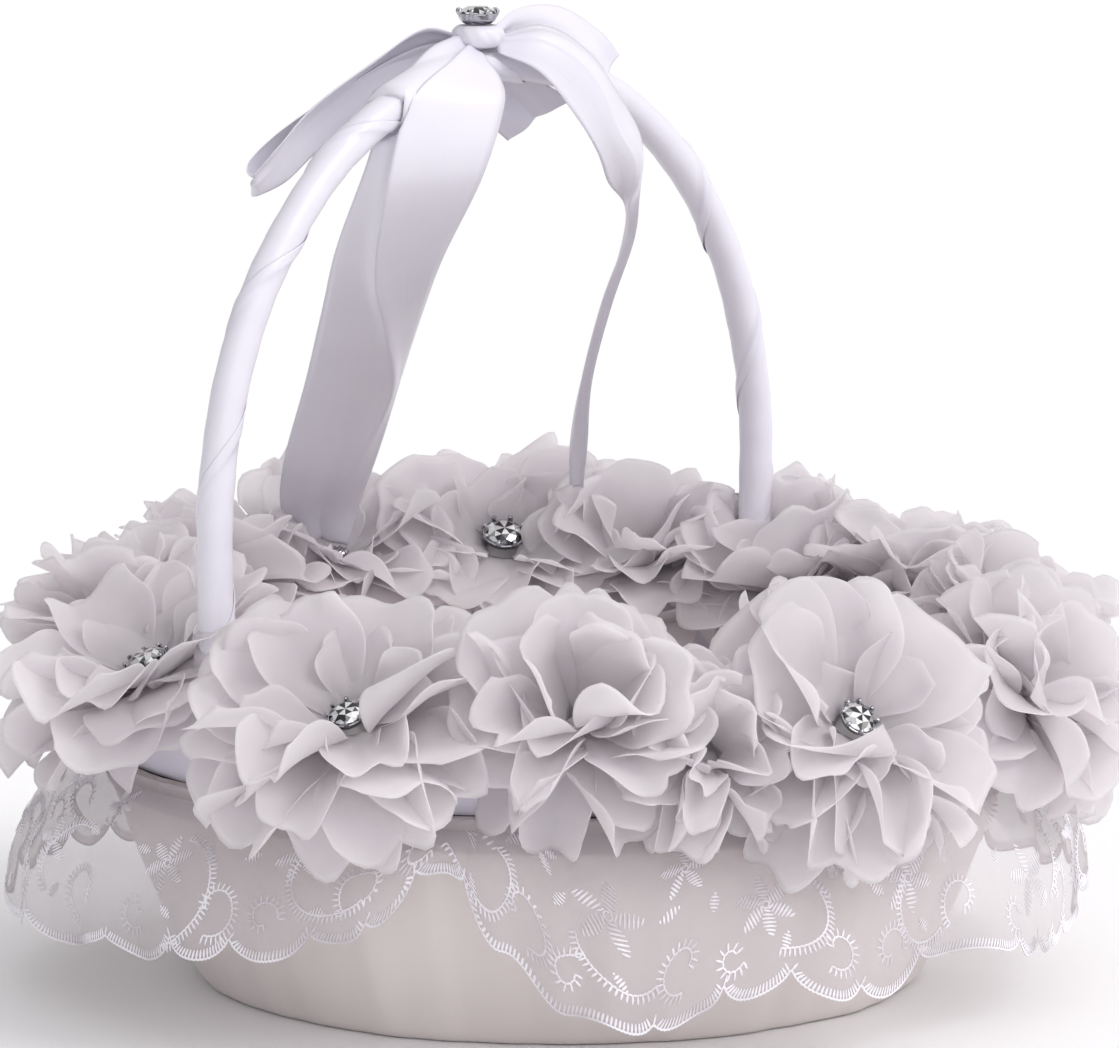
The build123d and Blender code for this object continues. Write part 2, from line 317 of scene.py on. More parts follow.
@dataclass(frozen=True)
class Cloth:
    """A woven finish: colour, sheen, weave and how much light comes through it."""

    name: str
    colour: str
    shade: str
    # Colour that the slub drift and the painted shade move towards.
    roughness: float
    sheen: float = 0.2
    thread_mm: float = 0.5
    weave: float = 0.15
    slub_mm: float = 14.0
    through: float = 0.0
    alpha: float = 1.0
    ribbed: bool = False
    specular: float = 0.5

    def build(self) -> bpy.types.Material:
        """Make the material.

        Returns:
            A Principled cloth whose colour drifts between its two tones over the slub size
            and towards the shade colour by the piece's painted light: painted shade in folds and
            hollows, painted highlight where it is negative. The weave is a bump. A Translucent
            share shows the light behind thin cloth.
        """
        material, tree = new_material(self.name)
        place_at = add_node(tree, "ShaderNodeTexCoord")
        tone = add_node(tree, "ShaderNodeAttribute", {"attribute_name": "tone"})
        drift = add_node(tree, "ShaderNodeTexNoise", inputs={
            "Vector": place_at.outputs["Object"], "Scale": 1 / (self.slub_mm * MM),
            "Detail": 3.0, "Roughness": 0.55})
        # Colour share: the random slub drift plus the piece's painted light, which is painted shade
        # where positive and painted highlight where negative.
        share = add_node(tree, "ShaderNodeMath", {"operation": "MULTIPLY_ADD"}, {
            0: drift.outputs["Fac"], 1: 0.5, 2: tone.outputs["Fac"]})
        colour = add_node(tree, "ShaderNodeMix", {"data_type": "RGBA", "clamp_factor": True}, {
            "Factor": share.outputs[0], 6: linear(self.colour), 7: linear(self.shade)})
        normal = self.weave_normal(tree, place_at)
        body = add_node(tree, "ShaderNodeBsdfPrincipled", inputs={
            "Base Color": colour.outputs[2], "Roughness": self.roughness,
            "Sheen Weight": self.sheen, "Sheen Roughness": 0.35,
            "Alpha": self.alpha,
            "Specular IOR Level": self.specular, "Normal": normal})
        surface = body.outputs[0]
        if self.through:
            glow = add_node(tree, "ShaderNodeBsdfTranslucent", inputs={
                "Color": colour.outputs[2], "Normal": normal})
            surface = add_node(tree, "ShaderNodeMixShader", inputs={
                0: self.through, 1: surface, 2: glow.outputs[0]}).outputs[0]
        add_node(tree, "ShaderNodeOutputMaterial", inputs={"Surface": surface})
        return material

    def weave_normal(self, tree: bpy.types.NodeTree,
                     place_at: bpy.types.Node) -> bpy.types.NodeSocket:
        """Bump of the weave: crossed threads, or the fine ribs of satin along one way.

        Args:
            tree: the node tree of the material.
            place_at: its Texture Coordinate node.

        Returns:
            Normal lifted by a noise, which on ribbed cloth reads the UV map in metres and is
            drawn out along the ribbon by its rib length.
        """
        thread = 1 / (self.thread_mm * MM)
        if self.ribbed:
            drawn = add_node(tree, "ShaderNodeMapping", inputs={
                "Vector": place_at.outputs["UV"], "Scale": (thread, thread / RIB_LENGTH, 1.0)})
            pattern = add_node(tree, "ShaderNodeTexNoise", inputs={
                "Vector": drawn.outputs[0], "Scale": 1.0, "Detail": 2.0, "Roughness": 0.5})
        else:
            pattern = add_node(tree, "ShaderNodeTexNoise", inputs={
                "Vector": place_at.outputs["Object"], "Scale": thread / 2,
                "Detail": 2.0, "Roughness": 0.6})
        bump = add_node(tree, "ShaderNodeBump", inputs={
            "Strength": self.weave, "Distance": WEAVE_DEPTH, "Height": pattern.outputs["Fac"]})
        return bump.outputs["Normal"]


@dataclass(frozen=True)
class Hard:
    """A plain hard finish: board, plastic or metal, with grain in colour and roughness."""

    name: str
    colour: str
    grain_colour: str
    roughness: float
    grain_mm: float
    metallic: float = 0.0
    bump: float = 0.1

    def build(self) -> bpy.types.Material:
        """Make the material.

        Returns:
            A Principled surface whose grain noise mixes its two colours, shifts the
            roughness by a tenth and lifts a small bump.
        """
        material, tree = new_material(self.name)
        place_at = add_node(tree, "ShaderNodeTexCoord")
        grain = add_node(tree, "ShaderNodeTexNoise", inputs={
            "Vector": place_at.outputs["Object"], "Scale": 1 / (self.grain_mm * MM),
            "Detail": 4.0, "Roughness": 0.6})
        colour = add_node(tree, "ShaderNodeMix", {"data_type": "RGBA"}, {
            "Factor": grain.outputs["Fac"], 6: linear(self.colour),
            7: linear(self.grain_colour)})
        rough = add_node(tree, "ShaderNodeMapRange", inputs={
            "Value": grain.outputs["Fac"], "To Min": self.roughness - 0.05,
            "To Max": self.roughness + 0.05})
        bump = add_node(tree, "ShaderNodeBump", inputs={
            "Strength": self.bump, "Distance": GRAIN_DEPTH, "Height": grain.outputs["Fac"]})
        body = add_node(tree, "ShaderNodeBsdfPrincipled", inputs={
            "Base Color": colour.outputs[2], "Roughness": rough.outputs[0],
            "Metallic": self.metallic, "Normal": bump.outputs["Normal"]})
        add_node(tree, "ShaderNodeOutputMaterial", inputs={"Surface": body.outputs[0]})
        return material


@dataclass(frozen=True)
class CutStone:
    """Foil-backed cut glass with painted reflections: each facet gets a fixed dark, mid or bright
    colour.
    """

    name: str = "foil-backed cut glass, painted glints"
    dark: str = "15141c"
    bright: str = "ffffff"

    def build(self) -> bpy.types.Material:
        """Make the material.

        Returns:
            A mirror-like surface under a clear gloss, whose painted facet reflection picks dark,
            mid or bright.
        """
        material, tree = new_material(self.name)
        # Painted reflections: the facet value is a painted glint colour.
        tone = add_node(tree, "ShaderNodeAttribute", {"attribute_name": "tone"})
        colour = add_node(tree, "ShaderNodeMix", {"data_type": "RGBA"}, {
            "Factor": tone.outputs["Fac"], 6: linear(self.dark), 7: linear(self.bright)})
        body = add_node(tree, "ShaderNodeBsdfPrincipled", inputs={
            "Base Color": colour.outputs[2], "Roughness": 0.08, "Metallic": 0.85,
            "Coat Weight": 1.0, "Coat Roughness": 0.02})
        add_node(tree, "ShaderNodeOutputMaterial", inputs={"Surface": body.outputs[0]})
        return material


# Polyester satin in ivory: the cover and lining. Broad soft lights, warm against the lilac.
IVORY_SATIN = Cloth("ivory polyester satin", "ebe3e1", "d8cfcd", 0.44, sheen=0.2,
                    thread_mm=0.9, weave=0.12, slub_mm=40.0)
# Double-faced satin ribbon: a cool silky face with long bright lights and painted grey-lilac shade.
SATIN_RIBBON = Cloth("double-faced satin ribbon", "efedf5", "dad7e6", 0.33, sheen=0.2,
                     thread_mm=0.8, weave=0.16, slub_mm=26.0, ribbed=True,
                     through=0.08, specular=0.7)
# Chiffon petals, heat-cut: matt and milky, with light glowing through thin laps.
PETAL_CHIFFON = Cloth("heat-cut chiffon", "fcfafb", "efecee", 0.6, sheen=0.1,
                      thread_mm=0.8, weave=0.14, slub_mm=9.0, through=0.74, specular=0.1)
# Sheer organza ground of the ruffle: a thin grey veil that lets the satin show through.
ORGANZA = Cloth("sheer organza", "cfc8cb", "bdb5b8", 0.5, sheen=0.12, thread_mm=0.7,
                weave=0.35, slub_mm=18.0, alpha=0.5, specular=0.3)
# Rayon embroidery thread: lustrous white stitches, some grey with painted shade.
EMBROIDERY = Cloth("lustrous rayon thread", "f4f1f7", "aaa3a8", 0.28, sheen=0.1,
                   thread_mm=0.4, weave=0.25, slub_mm=5.0, specular=0.9)
# Needled felt backs: matt, fibrous and hidden under the petals.
FELT = Cloth("needled felt", "e6e3e2", "d5d0d0", 0.95, sheen=0.6, thread_mm=1.2, weave=0.6,
             slub_mm=4.0, specular=0.1)
# Grey bookbinding board: pressed fibre with dark flecks.
GREY_BOARD = Hard("grey bookbinding board", "8d867d", "6f6961", 0.9, 0.8, bump=0.3)
# Drawn steel wire, and the extruded plastic tube inside the hoop.
STEEL_WIRE = Hard("drawn steel wire", "9a9a9e", "7d7d82", 0.35, 0.5, metallic=1.0)
HOOP_TUBE = Hard("extruded polythene tube", "dedbd6", "cfccc6", 0.5, 3.0)
# Bright nickel plate on the claw cups: mirror bright with soft wear.
CLAW_PLATE = Hard("bright nickel plate", "c9c9cd", "9d9da3", 0.16, 0.6, metallic=1.0, bump=0.05)
CUT_STONE = CutStone()


# ---------------------------------------------------------------- helpers for pieces


@dataclass
class Cells:
    """Many small grids of one size, one behind another, with a UV pair and painted light at each
    point.
    """

    points: np.ndarray
    uv: np.ndarray
    tone: np.ndarray

    def faces(self) -> tuple[np.ndarray, np.ndarray]:
        """Quads of every grid.

        Returns:
            Corner numbers of each quad, and the UV pair at each corner.
        """
        count, rows, columns = self.points.shape[:3]
        k, i, j = np.meshgrid(np.arange(count), np.arange(rows - 1), np.arange(columns - 1),
                              indexing="ij")
        first = ((k * rows + i) * columns + j).ravel()
        quads = np.stack([first, first + columns, first + columns + 1, first + 1], 1)
        return quads, self.uv.reshape(-1, 2)[quads]


def weld(piece: bpy.types.Object, distance: float = 1e-6) -> bpy.types.Object:
    """Merge points that lie together, which closes poles and drops faces of no area.

    Args:
        piece: the object whose mesh is cleaned.
        distance: the furthest apart that two points may lie and still be merged.

    Returns:
        The same object.
    """
    work = bmesh.new()
    work.from_mesh(piece.data)
    bmesh.ops.remove_doubles(work, verts=work.verts, dist=distance)
    bmesh.ops.dissolve_degenerate(work, edges=work.edges, dist=distance)
    work.to_mesh(piece.data)
    work.free()
    return piece


def cloth_area(piece: bpy.types.Object) -> float:
    """Measure a piece's own mesh.

    Args:
        piece: the object.

    Returns:
        The sum of its faces' areas, in square metres.
    """
    areas = np.zeros(len(piece.data.polygons), np.float32)
    piece.data.polygons.foreach_get("area", areas)
    return float(areas.sum())


def declare(piece: bpy.types.Object, width: float) -> bpy.types.Object:
    """Work out the length of a sheet of cloth's flat cut, which is not kept.

    Args:
        piece: the sheet, before its thickness counts.
        width: width of its flat cut. The cut's length is the surface's area over the width.

    Returns:
        The same object.
    """
    cloth_area(piece) / width
    return piece


def dress(nodes: tuple[str, ...], material: bpy.types.Material) -> None:
    """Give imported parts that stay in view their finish.

    Args:
        nodes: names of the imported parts.
        material: their finish.
    """
    for name in nodes:
        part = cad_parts[name]
        part.data.materials.clear()
        part.data.materials.append(material)
        LOG.info("%s: packed part, %s", name, material.name)


def node_points(name: str) -> np.ndarray:
    """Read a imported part's points.

    Args:
        name: the part's node.

    Returns:
        Its points in metres, each once.
    """
    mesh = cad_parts[name].data
    flat = np.zeros(len(mesh.vertices) * 3, np.float32)
    mesh.vertices.foreach_get("co", flat)
    return np.unique(np.round(flat.reshape(-1, 3).astype(float), 6), axis=0)


def turned(radius: np.ndarray, height: np.ndarray, angle: np.ndarray) -> np.ndarray:
    """Grid of (radius cos a, radius sin a, height) with rows along the profile."""
    return np.stack(np.broadcast_arrays(
        radius * np.cos(angle), radius * np.sin(angle), height), -1)


def around(count: int) -> np.ndarray:
    """Bearings of the columns of a closed ring, in radians, as one row."""
    return np.linspace(0, 2 * math.pi, count, endpoint=False)[None, :]


@dataclass(frozen=True)
class Axes:
    """A point with three directions: two across and one along the axis."""

    origin: np.ndarray
    across: np.ndarray
    beside: np.ndarray
    axis: np.ndarray

    @classmethod
    def along(cls, origin: np.ndarray, axis: np.ndarray) -> "Axes":
        """Set axes up at a point.

        Args:
            origin: the point.
            axis: the third direction, of length 1.

        Returns:
            Axes whose first direction is level, and is x where the axis is upright.
        """
        side = np.array([-axis[1], axis[0], 0.0])
        side = np.array([1.0, 0, 0]) if np.linalg.norm(side) < 1e-6 else unit(side)
        return cls(origin, side, np.cross(axis, side), axis)

    def out(self, local: np.ndarray) -> np.ndarray:
        """Points given in these axes, in the frame of the whole basket."""
        return self.origin + local @ np.stack([self.across, self.beside, self.axis])


# ---------------------------------------------------------------- carcass and its cloth


@dataclass(frozen=True)
class Carcass:
    """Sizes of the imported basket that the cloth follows, in metres."""

    base_radius: float
    rim_radius: float
    wall_height: float
    board: float
    floor: float
    binding_low: float
    binding_top: float

    @classmethod
    def read(cls) -> "Carcass":
        """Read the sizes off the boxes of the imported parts.

        Returns:
            The sizes, with the cloth's gap to the board taken off.
        """
        gap = 0.3 * MM
        shell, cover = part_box("side_shell")[1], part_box("base_cover")[1]
        lining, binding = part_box("inner_lining")[1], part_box("rim_binding")
        base, rim_highlight, height = cover.x + gap, shell.x, shell.z
        wall = base + (rim_highlight - base) * lining.z / height
        return cls(base, rim_highlight, height, wall - lining.x - gap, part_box("base_board")[1].z,
                   binding[0].z, binding[1].z)

    def outer(self, height: np.ndarray | float) -> np.ndarray | float:
        """Outer radius of the board wall at a height."""
        return self.base_radius + (self.rim_radius - self.base_radius) * height / self.wall_height


@dataclass
class BasketCloth:
    """Satin cover, lining, rim binding, base cloth and floor pad of the basket."""

    carcass: Carcass
    columns: int = 720
    disc_columns: int = 180
    cloth_thickness: float = 0.35 * MM
    fold_drift: float = 0.05
    uv_height: float = 0.07

    def band(self, name: str, profile: tuple[tuple[float, float], ...], rows: int,
             folds: tuple[tuple[range, float, float, float], ...], seed: int,
             inner: bool = False) -> bpy.types.Object:
        """Ring of cloth that follows the board wall.

        Args:
            name: the piece's name.
            profile: (stand-off from the wall in mm, height in mm) along the cloth.
            rows: points along the profile.
            folds: sets of (wave counts, fall, depth in mm at the first row, at the last row).
            seed: seed of the folds.
            inner: whether the cloth faces the middle of the basket.

        Returns:
            Grid whose radius is the wall's, plus the stand-off, plus each set's ripple.
        """
        rng = np.random.default_rng(seed)
        angle = around(self.columns)
        line = spline(np.array(profile), rows) * MM
        along = np.linspace(0, 1, rows)[:, None]
        stand_off = np.repeat(line[:, :1], self.columns, 1)
        for counts, fall, first, last in folds:
            drift = self.fold_drift * waves(angle, rng, range(2, 7), 0.5) * along
            ripple = waves(angle + drift, rng, counts, fall)
            stand_off = stand_off + ripple * (first + (last - first) * along) * MM
        height = np.repeat(line[:, 1:], self.columns, 1)
        grid = turned(self.carcass.outer(np.minimum(height, self.carcass.wall_height))
                      + stand_off, height, angle)
        turn = np.linspace(0, 2 * math.pi * self.carcass.rim_radius, self.columns)
        uv = np.stack(np.broadcast_arrays(turn[None, :], along * self.uv_height), -1)
        # Painted shade: the nearer the cloth lies to the board wall, or inside it, the darker it is
        # painted. Fold hollows, the roll under the base and the inside of the basket get painted
        # shade.
        tone = smoothstep(-stand_off, -0.006, 0.001) * 0.5
        piece = mesh_piece(name, [Patch(grid, uv=uv, close_columns=True, flip=inner, tone=tone)])
        thicken(piece, self.cloth_thickness)
        return piece

    def cover(self, satin: bpy.types.Material) -> None:
        """Outer satin: rolled in at the base, bellied, and gathered towards the rim.

        Args:
            satin: its finish.
        """
        top = (self.carcass.binding_low / MM) - 0.4
        profile = ((0.2, 0.3), (2.0, 0.5), (3.2, 2.2), (3.9, 7), (4.6, 18), (4.4, 32),
                   (3.4, 48), (2.0, top))
        folds = ((range(4, 20), 0.6, 0.9, 1.8), (range(24, 50), 0.4, 0.35, 1.5),
                 (range(70, 110), 0.2, 0.0, 0.4))
        piece = place(self.band("gathered_satin_cover", profile, 40, folds, 11),
                      satin, ("outer_cover",))
        declare(piece, 0.082)

    def lining(self, satin: bpy.types.Material) -> None:
        """Inner satin, drawn down the board wall from the binding to the floor.

        Args:
            satin: its finish.
        """
        back = -self.carcass.board / MM
        low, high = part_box("inner_lining")[0].z / MM, self.carcass.binding_low / MM - 0.4
        profile = ((back - 1.0, low), (back - 0.9, low + 12), (back - 1.0, 40), (back - 0.8, high))
        folds = ((range(14, 50), 0.5, 0.35, 0.25),)
        piece = place(self.band("satin_lining", profile, 16, folds, 12, inner=True),
                      satin, ("inner_lining",))
        declare(piece, 0.062)

    def binding(self, satin: bpy.types.Material) -> None:
        """Ribbon folded over the rim wire and both faces of the board.

        Args:
            satin: its finish.
        """
        mid, low = -self.carcass.board / MM / 2, self.carcass.binding_low / MM
        high, top = self.carcass.wall_height / MM, self.carcass.binding_top / MM
        side = (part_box("rim_binding")[1].x - self.carcass.rim_radius) / MM - mid - 0.4
        profile = ((mid + side, low), (mid + side, low + 5), (mid + side, high),
                   (mid + side * 0.8, top - 0.9), (mid, top - 0.35), (mid - side * 0.8, top - 0.9),
                   (mid - side, high), (mid - side, low + 5), (mid - side, low))
        folds = ((range(60, 120), 0.3, 0.22, 0.22),)
        piece = place(self.band("folded_rim_ribbon", profile, 30, folds, 13),
                      satin, ("rim_binding",))
        declare(piece, 0.03)

    def heading(self, organza: bpy.types.Material) -> None:
        """Tightly gathered strip that the ruffle hangs from.

        Args:
            organza: its finish.
        """
        low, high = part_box("ruffle_heading")
        rise = high.x - self.carcass.outer(high.z)
        profile = tuple(((rise / MM) - 0.9, z) for z in np.linspace(low.z / MM, high.z / MM, 4))
        folds = ((range(110, 170), 0.1, 0.6, 0.7),)
        piece = place(self.band("gathered_heading", profile, 8, folds, 14),
                      organza, ("ruffle_heading",))
        declare(piece, 0.012)

    def base_cloth(self, satin: bpy.types.Material) -> None:
        """Disc of satin glued under the base, with faint puckers at its edge.

        Args:
            satin: its finish.
        """
        low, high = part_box("base_cover")
        reach = np.linspace(0, 1, 18)[:, None]
        angle = around(self.disc_columns)
        pucker = 0.12 * MM * reach**4 * waves(angle, np.random.default_rng(15),
                                              range(20, 50), 0.3)
        grid = turned(reach * high.x, (low.z + high.z) / 2 + pucker, angle)
        piece = weld(mesh_piece("base_satin_disc", [Patch(grid, close_columns=True, flip=True)]))
        thicken(piece, self.cloth_thickness)
        place(piece, satin, ("base_cover",))

    def floor_pad(self, satin: bpy.types.Material) -> None:
        """Satin floor pad, blown out by a short cloth simulation.

        The profile at t from -90 to 90 degrees has a radius of cos(t)^0.45 and a height of
        sin(t)^0.8, and is flatter towards the middle.

        Args:
            satin: its finish.
        """
        low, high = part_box("floor_pad")
        inset, half = 2.2 * MM, (high.z - low.z) / 2
        t = np.linspace(-math.pi / 2, math.pi / 2, 25)[:, None]
        shape = np.sign(np.sin(t)) * np.abs(np.sin(t)) ** 0.8
        reach = (high.x - inset) * np.cos(t) ** 0.45
        crown = 1 - 0.25 * (reach / high.x) ** 2
        grid = turned(reach, low.z + half + (half - inset / 2) * shape * crown, around(120))
        piece = weld(mesh_piece("padded_floor", [Patch(grid, close_columns=True, flip=True)]))
        self.inflate(piece, voxel=4.5 * MM, cap=2.0 * MM)
        place(piece, satin, ("floor_pad",))

    def inflate(self, piece: bpy.types.Object, voxel: float, cap: float) -> None:
        """Blow a closed shape out with cloth pressure.

        Args:
            piece: the closed piece, whose mesh is remade.
            voxel: size of the remesh.
            cap: the furthest that a point may move.
        """
        first, last, pressure = 1, 20, 4.0
        scene = bpy.context.scene
        remesh = piece.modifiers.new("remesh", "REMESH")
        remesh.mode, remesh.voxel_size = "VOXEL", voxel
        self.apply(piece)
        start = np.zeros(len(piece.data.vertices) * 3, np.float32)
        piece.data.vertices.foreach_get("co", start)
        cloth = piece.modifiers.new("cloth", "CLOTH")
        cloth.settings.use_pressure = True
        cloth.settings.uniform_pressure_force = pressure
        cloth.settings.effector_weights.gravity = 0.0
        cloth.point_cache.frame_start, cloth.point_cache.frame_end = first, last
        for number in range(first, last + 1):
            scene.frame_set(number)
        self.apply(piece)
        scene.frame_set(first)
        moved = np.zeros_like(start)
        piece.data.vertices.foreach_get("co", moved)
        step = (moved - start).reshape(-1, 3)
        length = np.linalg.norm(step, axis=1, keepdims=True)
        step *= np.minimum(1.0, cap / np.maximum(length, 1e-9))
        piece.data.vertices.foreach_set("co", (start.reshape(-1, 3) + step).ravel())
        piece.data.polygons.foreach_set("use_smooth", np.ones(len(piece.data.polygons), bool))
        subdivision = piece.modifiers.new("smooth", "SUBSURF")
        subdivision.levels = subdivision.render_levels = 1

    @staticmethod
    def apply(piece: bpy.types.Object) -> None:
        """Turn a piece's modifiers into its own mesh.

        Args:
            piece: the object, which is left with no modifiers.
        """
        seen = piece.evaluated_get(bpy.context.evaluated_depsgraph_get())
        mesh = bpy.data.meshes.new_from_object(seen)
        piece.modifiers.clear()
        old, piece.data = piece.data, mesh
        bpy.data.meshes.remove(old)


# ---------------------------------------------------------------- ruffle and embroidery


@dataclass
class Ruffle:
    """Sheer organza that flares from its heading to a scalloped, embroidered hem.

    The hem's lift and flare are (bearing in degrees, mm) stations round the basket.
    """

    carcass: Carcass
    scallops: int = 40
    scallop_depth: float = 5.0 * MM
    flute_depth: float = 4.6 * MM
    columns: int = 1200
    rows: int = 34
    hem_lift: tuple[tuple[float, float], ...] = (
        (0, 7), (40, 9), (80, 4), (115, 10), (135, 7), (157, 7), (171, 9), (185, 13), (197, 20),
        (206, 40), (213, 20), (220, 4), (228, -3), (234, 4), (242, 8), (251, 2), (266, 11),
        (282, 4), (294, 7), (318, 10), (340, 5))
    hem_flare: tuple[tuple[float, float], ...] = (
        (0, 0), (95, 0), (118, 6), (140, 7), (165, 2), (200, 0))
    drop: float = 62 * MM
    cut_width: float = 65 * MM
    clear_of_wall: float = 6.2 * MM
    clear_of_floor: float = 1.2 * MM
    slack: float = 1.06

    def __post_init__(self) -> None:
        """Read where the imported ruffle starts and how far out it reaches."""
        low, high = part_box("lace_ruffle")
        self.hem_radius, self.hem_height = high.x, low.z
        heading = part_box("ruffle_heading")[1]
        self.start = np.array([heading.x + 0.8 * MM, high.z - 2.5 * MM])
        rng = np.random.default_rng(21)
        self.broad = rng.integers(1 << 30)
        self.fine = rng.integers(1 << 30)

    def girth(self) -> float:
        """Length of the hem line round the basket."""
        return 2 * math.pi * self.hem_radius

    def point(self, x: np.ndarray, y: np.ndarray) -> np.ndarray:
        """Place on the hanging cloth.

        Args:
            x: distance along the hem.
            y: distance up the cloth from the hem line.

        Returns:
            Points on a Bezier meridian from the heading to the hem, with the flutes added
            square to it. They grow with the share t of the way down as t to the power 1.3.
        """
        angle = x / self.hem_radius
        lift = periodic(angle, self.hem_lift) * MM
        flute = waves(angle, np.random.default_rng(self.broad), range(11, 31), 0.4)
        small = waves(angle, np.random.default_rng(self.fine), range(45, 80), 0.3)
        flare = periodic(angle, self.hem_flare) * MM
        hem = np.stack([self.hem_radius - lift * 0.25 + flare, self.hem_height + lift * 0.9], -1)
        length = np.linalg.norm(hem - self.start, axis=-1) * self.slack
        t = np.clip(1 - y / length, 0, 1.02)
        knee = np.stack([self.start[0] + (hem[..., 0] - self.start[0]) * 0.95 + 2.5 * MM,
                         self.start[1] - (self.start[1] - hem[..., 1]) * 0.32], -1)
        a, b, c = (1 - t) ** 2, 2 * t * (1 - t), t**2
        radius = a * self.start[0] + b * knee[..., 0] + c * hem[..., 0]
        height = a * self.start[1] + b * knee[..., 1] + c * hem[..., 1]
        swell = t**1.3 * (self.flute_depth * flute) + (0.3 + 0.9 * t) * MM * small
        radius = radius + swell * 0.8
        height = height + swell * 0.35 * t
        height = np.maximum(height, self.clear_of_floor)
        least = self.carcass.outer(height) + self.clear_of_wall
        return turned(np.maximum(radius, least), height, angle)

    def edge(self, x: np.ndarray) -> np.ndarray:
        """Height of the cut edge over the hem line.

        Args:
            x: distance along the hem.

        Returns:
            Round lobes with pointed notches: 1 - the root of (1 - (2 s - 1)^2) at a share s
            of a lobe. The lobes' widths and depths drift round the basket.
        """
        angle = x / self.hem_radius
        drift = 1.1 * waves(angle, np.random.default_rng(self.broad + 1), range(4, 14), 0.1)
        deep = 1 + 0.35 * waves(angle, np.random.default_rng(self.fine + 1), range(5, 19), 0.1)
        share = (angle / (2 * math.pi) * self.scallops + drift) % 1.0
        lobe = 1 - np.sqrt(np.maximum(1 - (2 * share - 1) ** 2, 0.0))
        return self.scallop_depth * deep * lobe

    def cloth(self, organza: bpy.types.Material, threads: bpy.types.Object) -> None:
        """The organza itself, from the heading to the scalloped edge.

        Args:
            organza: its finish.
            threads: the embroidery sewn to it; not used.
        """
        x = np.linspace(0, self.girth(), self.columns, endpoint=False)[None, :]
        down = np.linspace(0, 1, self.rows)[:, None]
        edge = self.edge(x)
        y = edge + (self.drop - edge) * (1 - down)
        grid = self.point(np.broadcast_to(x, y.shape), y)
        uv = np.stack(np.broadcast_arrays(x, y), -1)
        # Painted shade: the organza is painted darker towards the heading, under the flowers.
        tone = smoothstep(-y, -self.drop, -self.drop * 0.6) * -0.2 + 0.2
        piece = mesh_piece("organza_ruffle", [Patch(grid, uv, close_columns=True, tone=tone)])
        weld(piece, 2e-6)
        place(piece, organza, ("lace_ruffle",))
        declare(piece, self.cut_width)


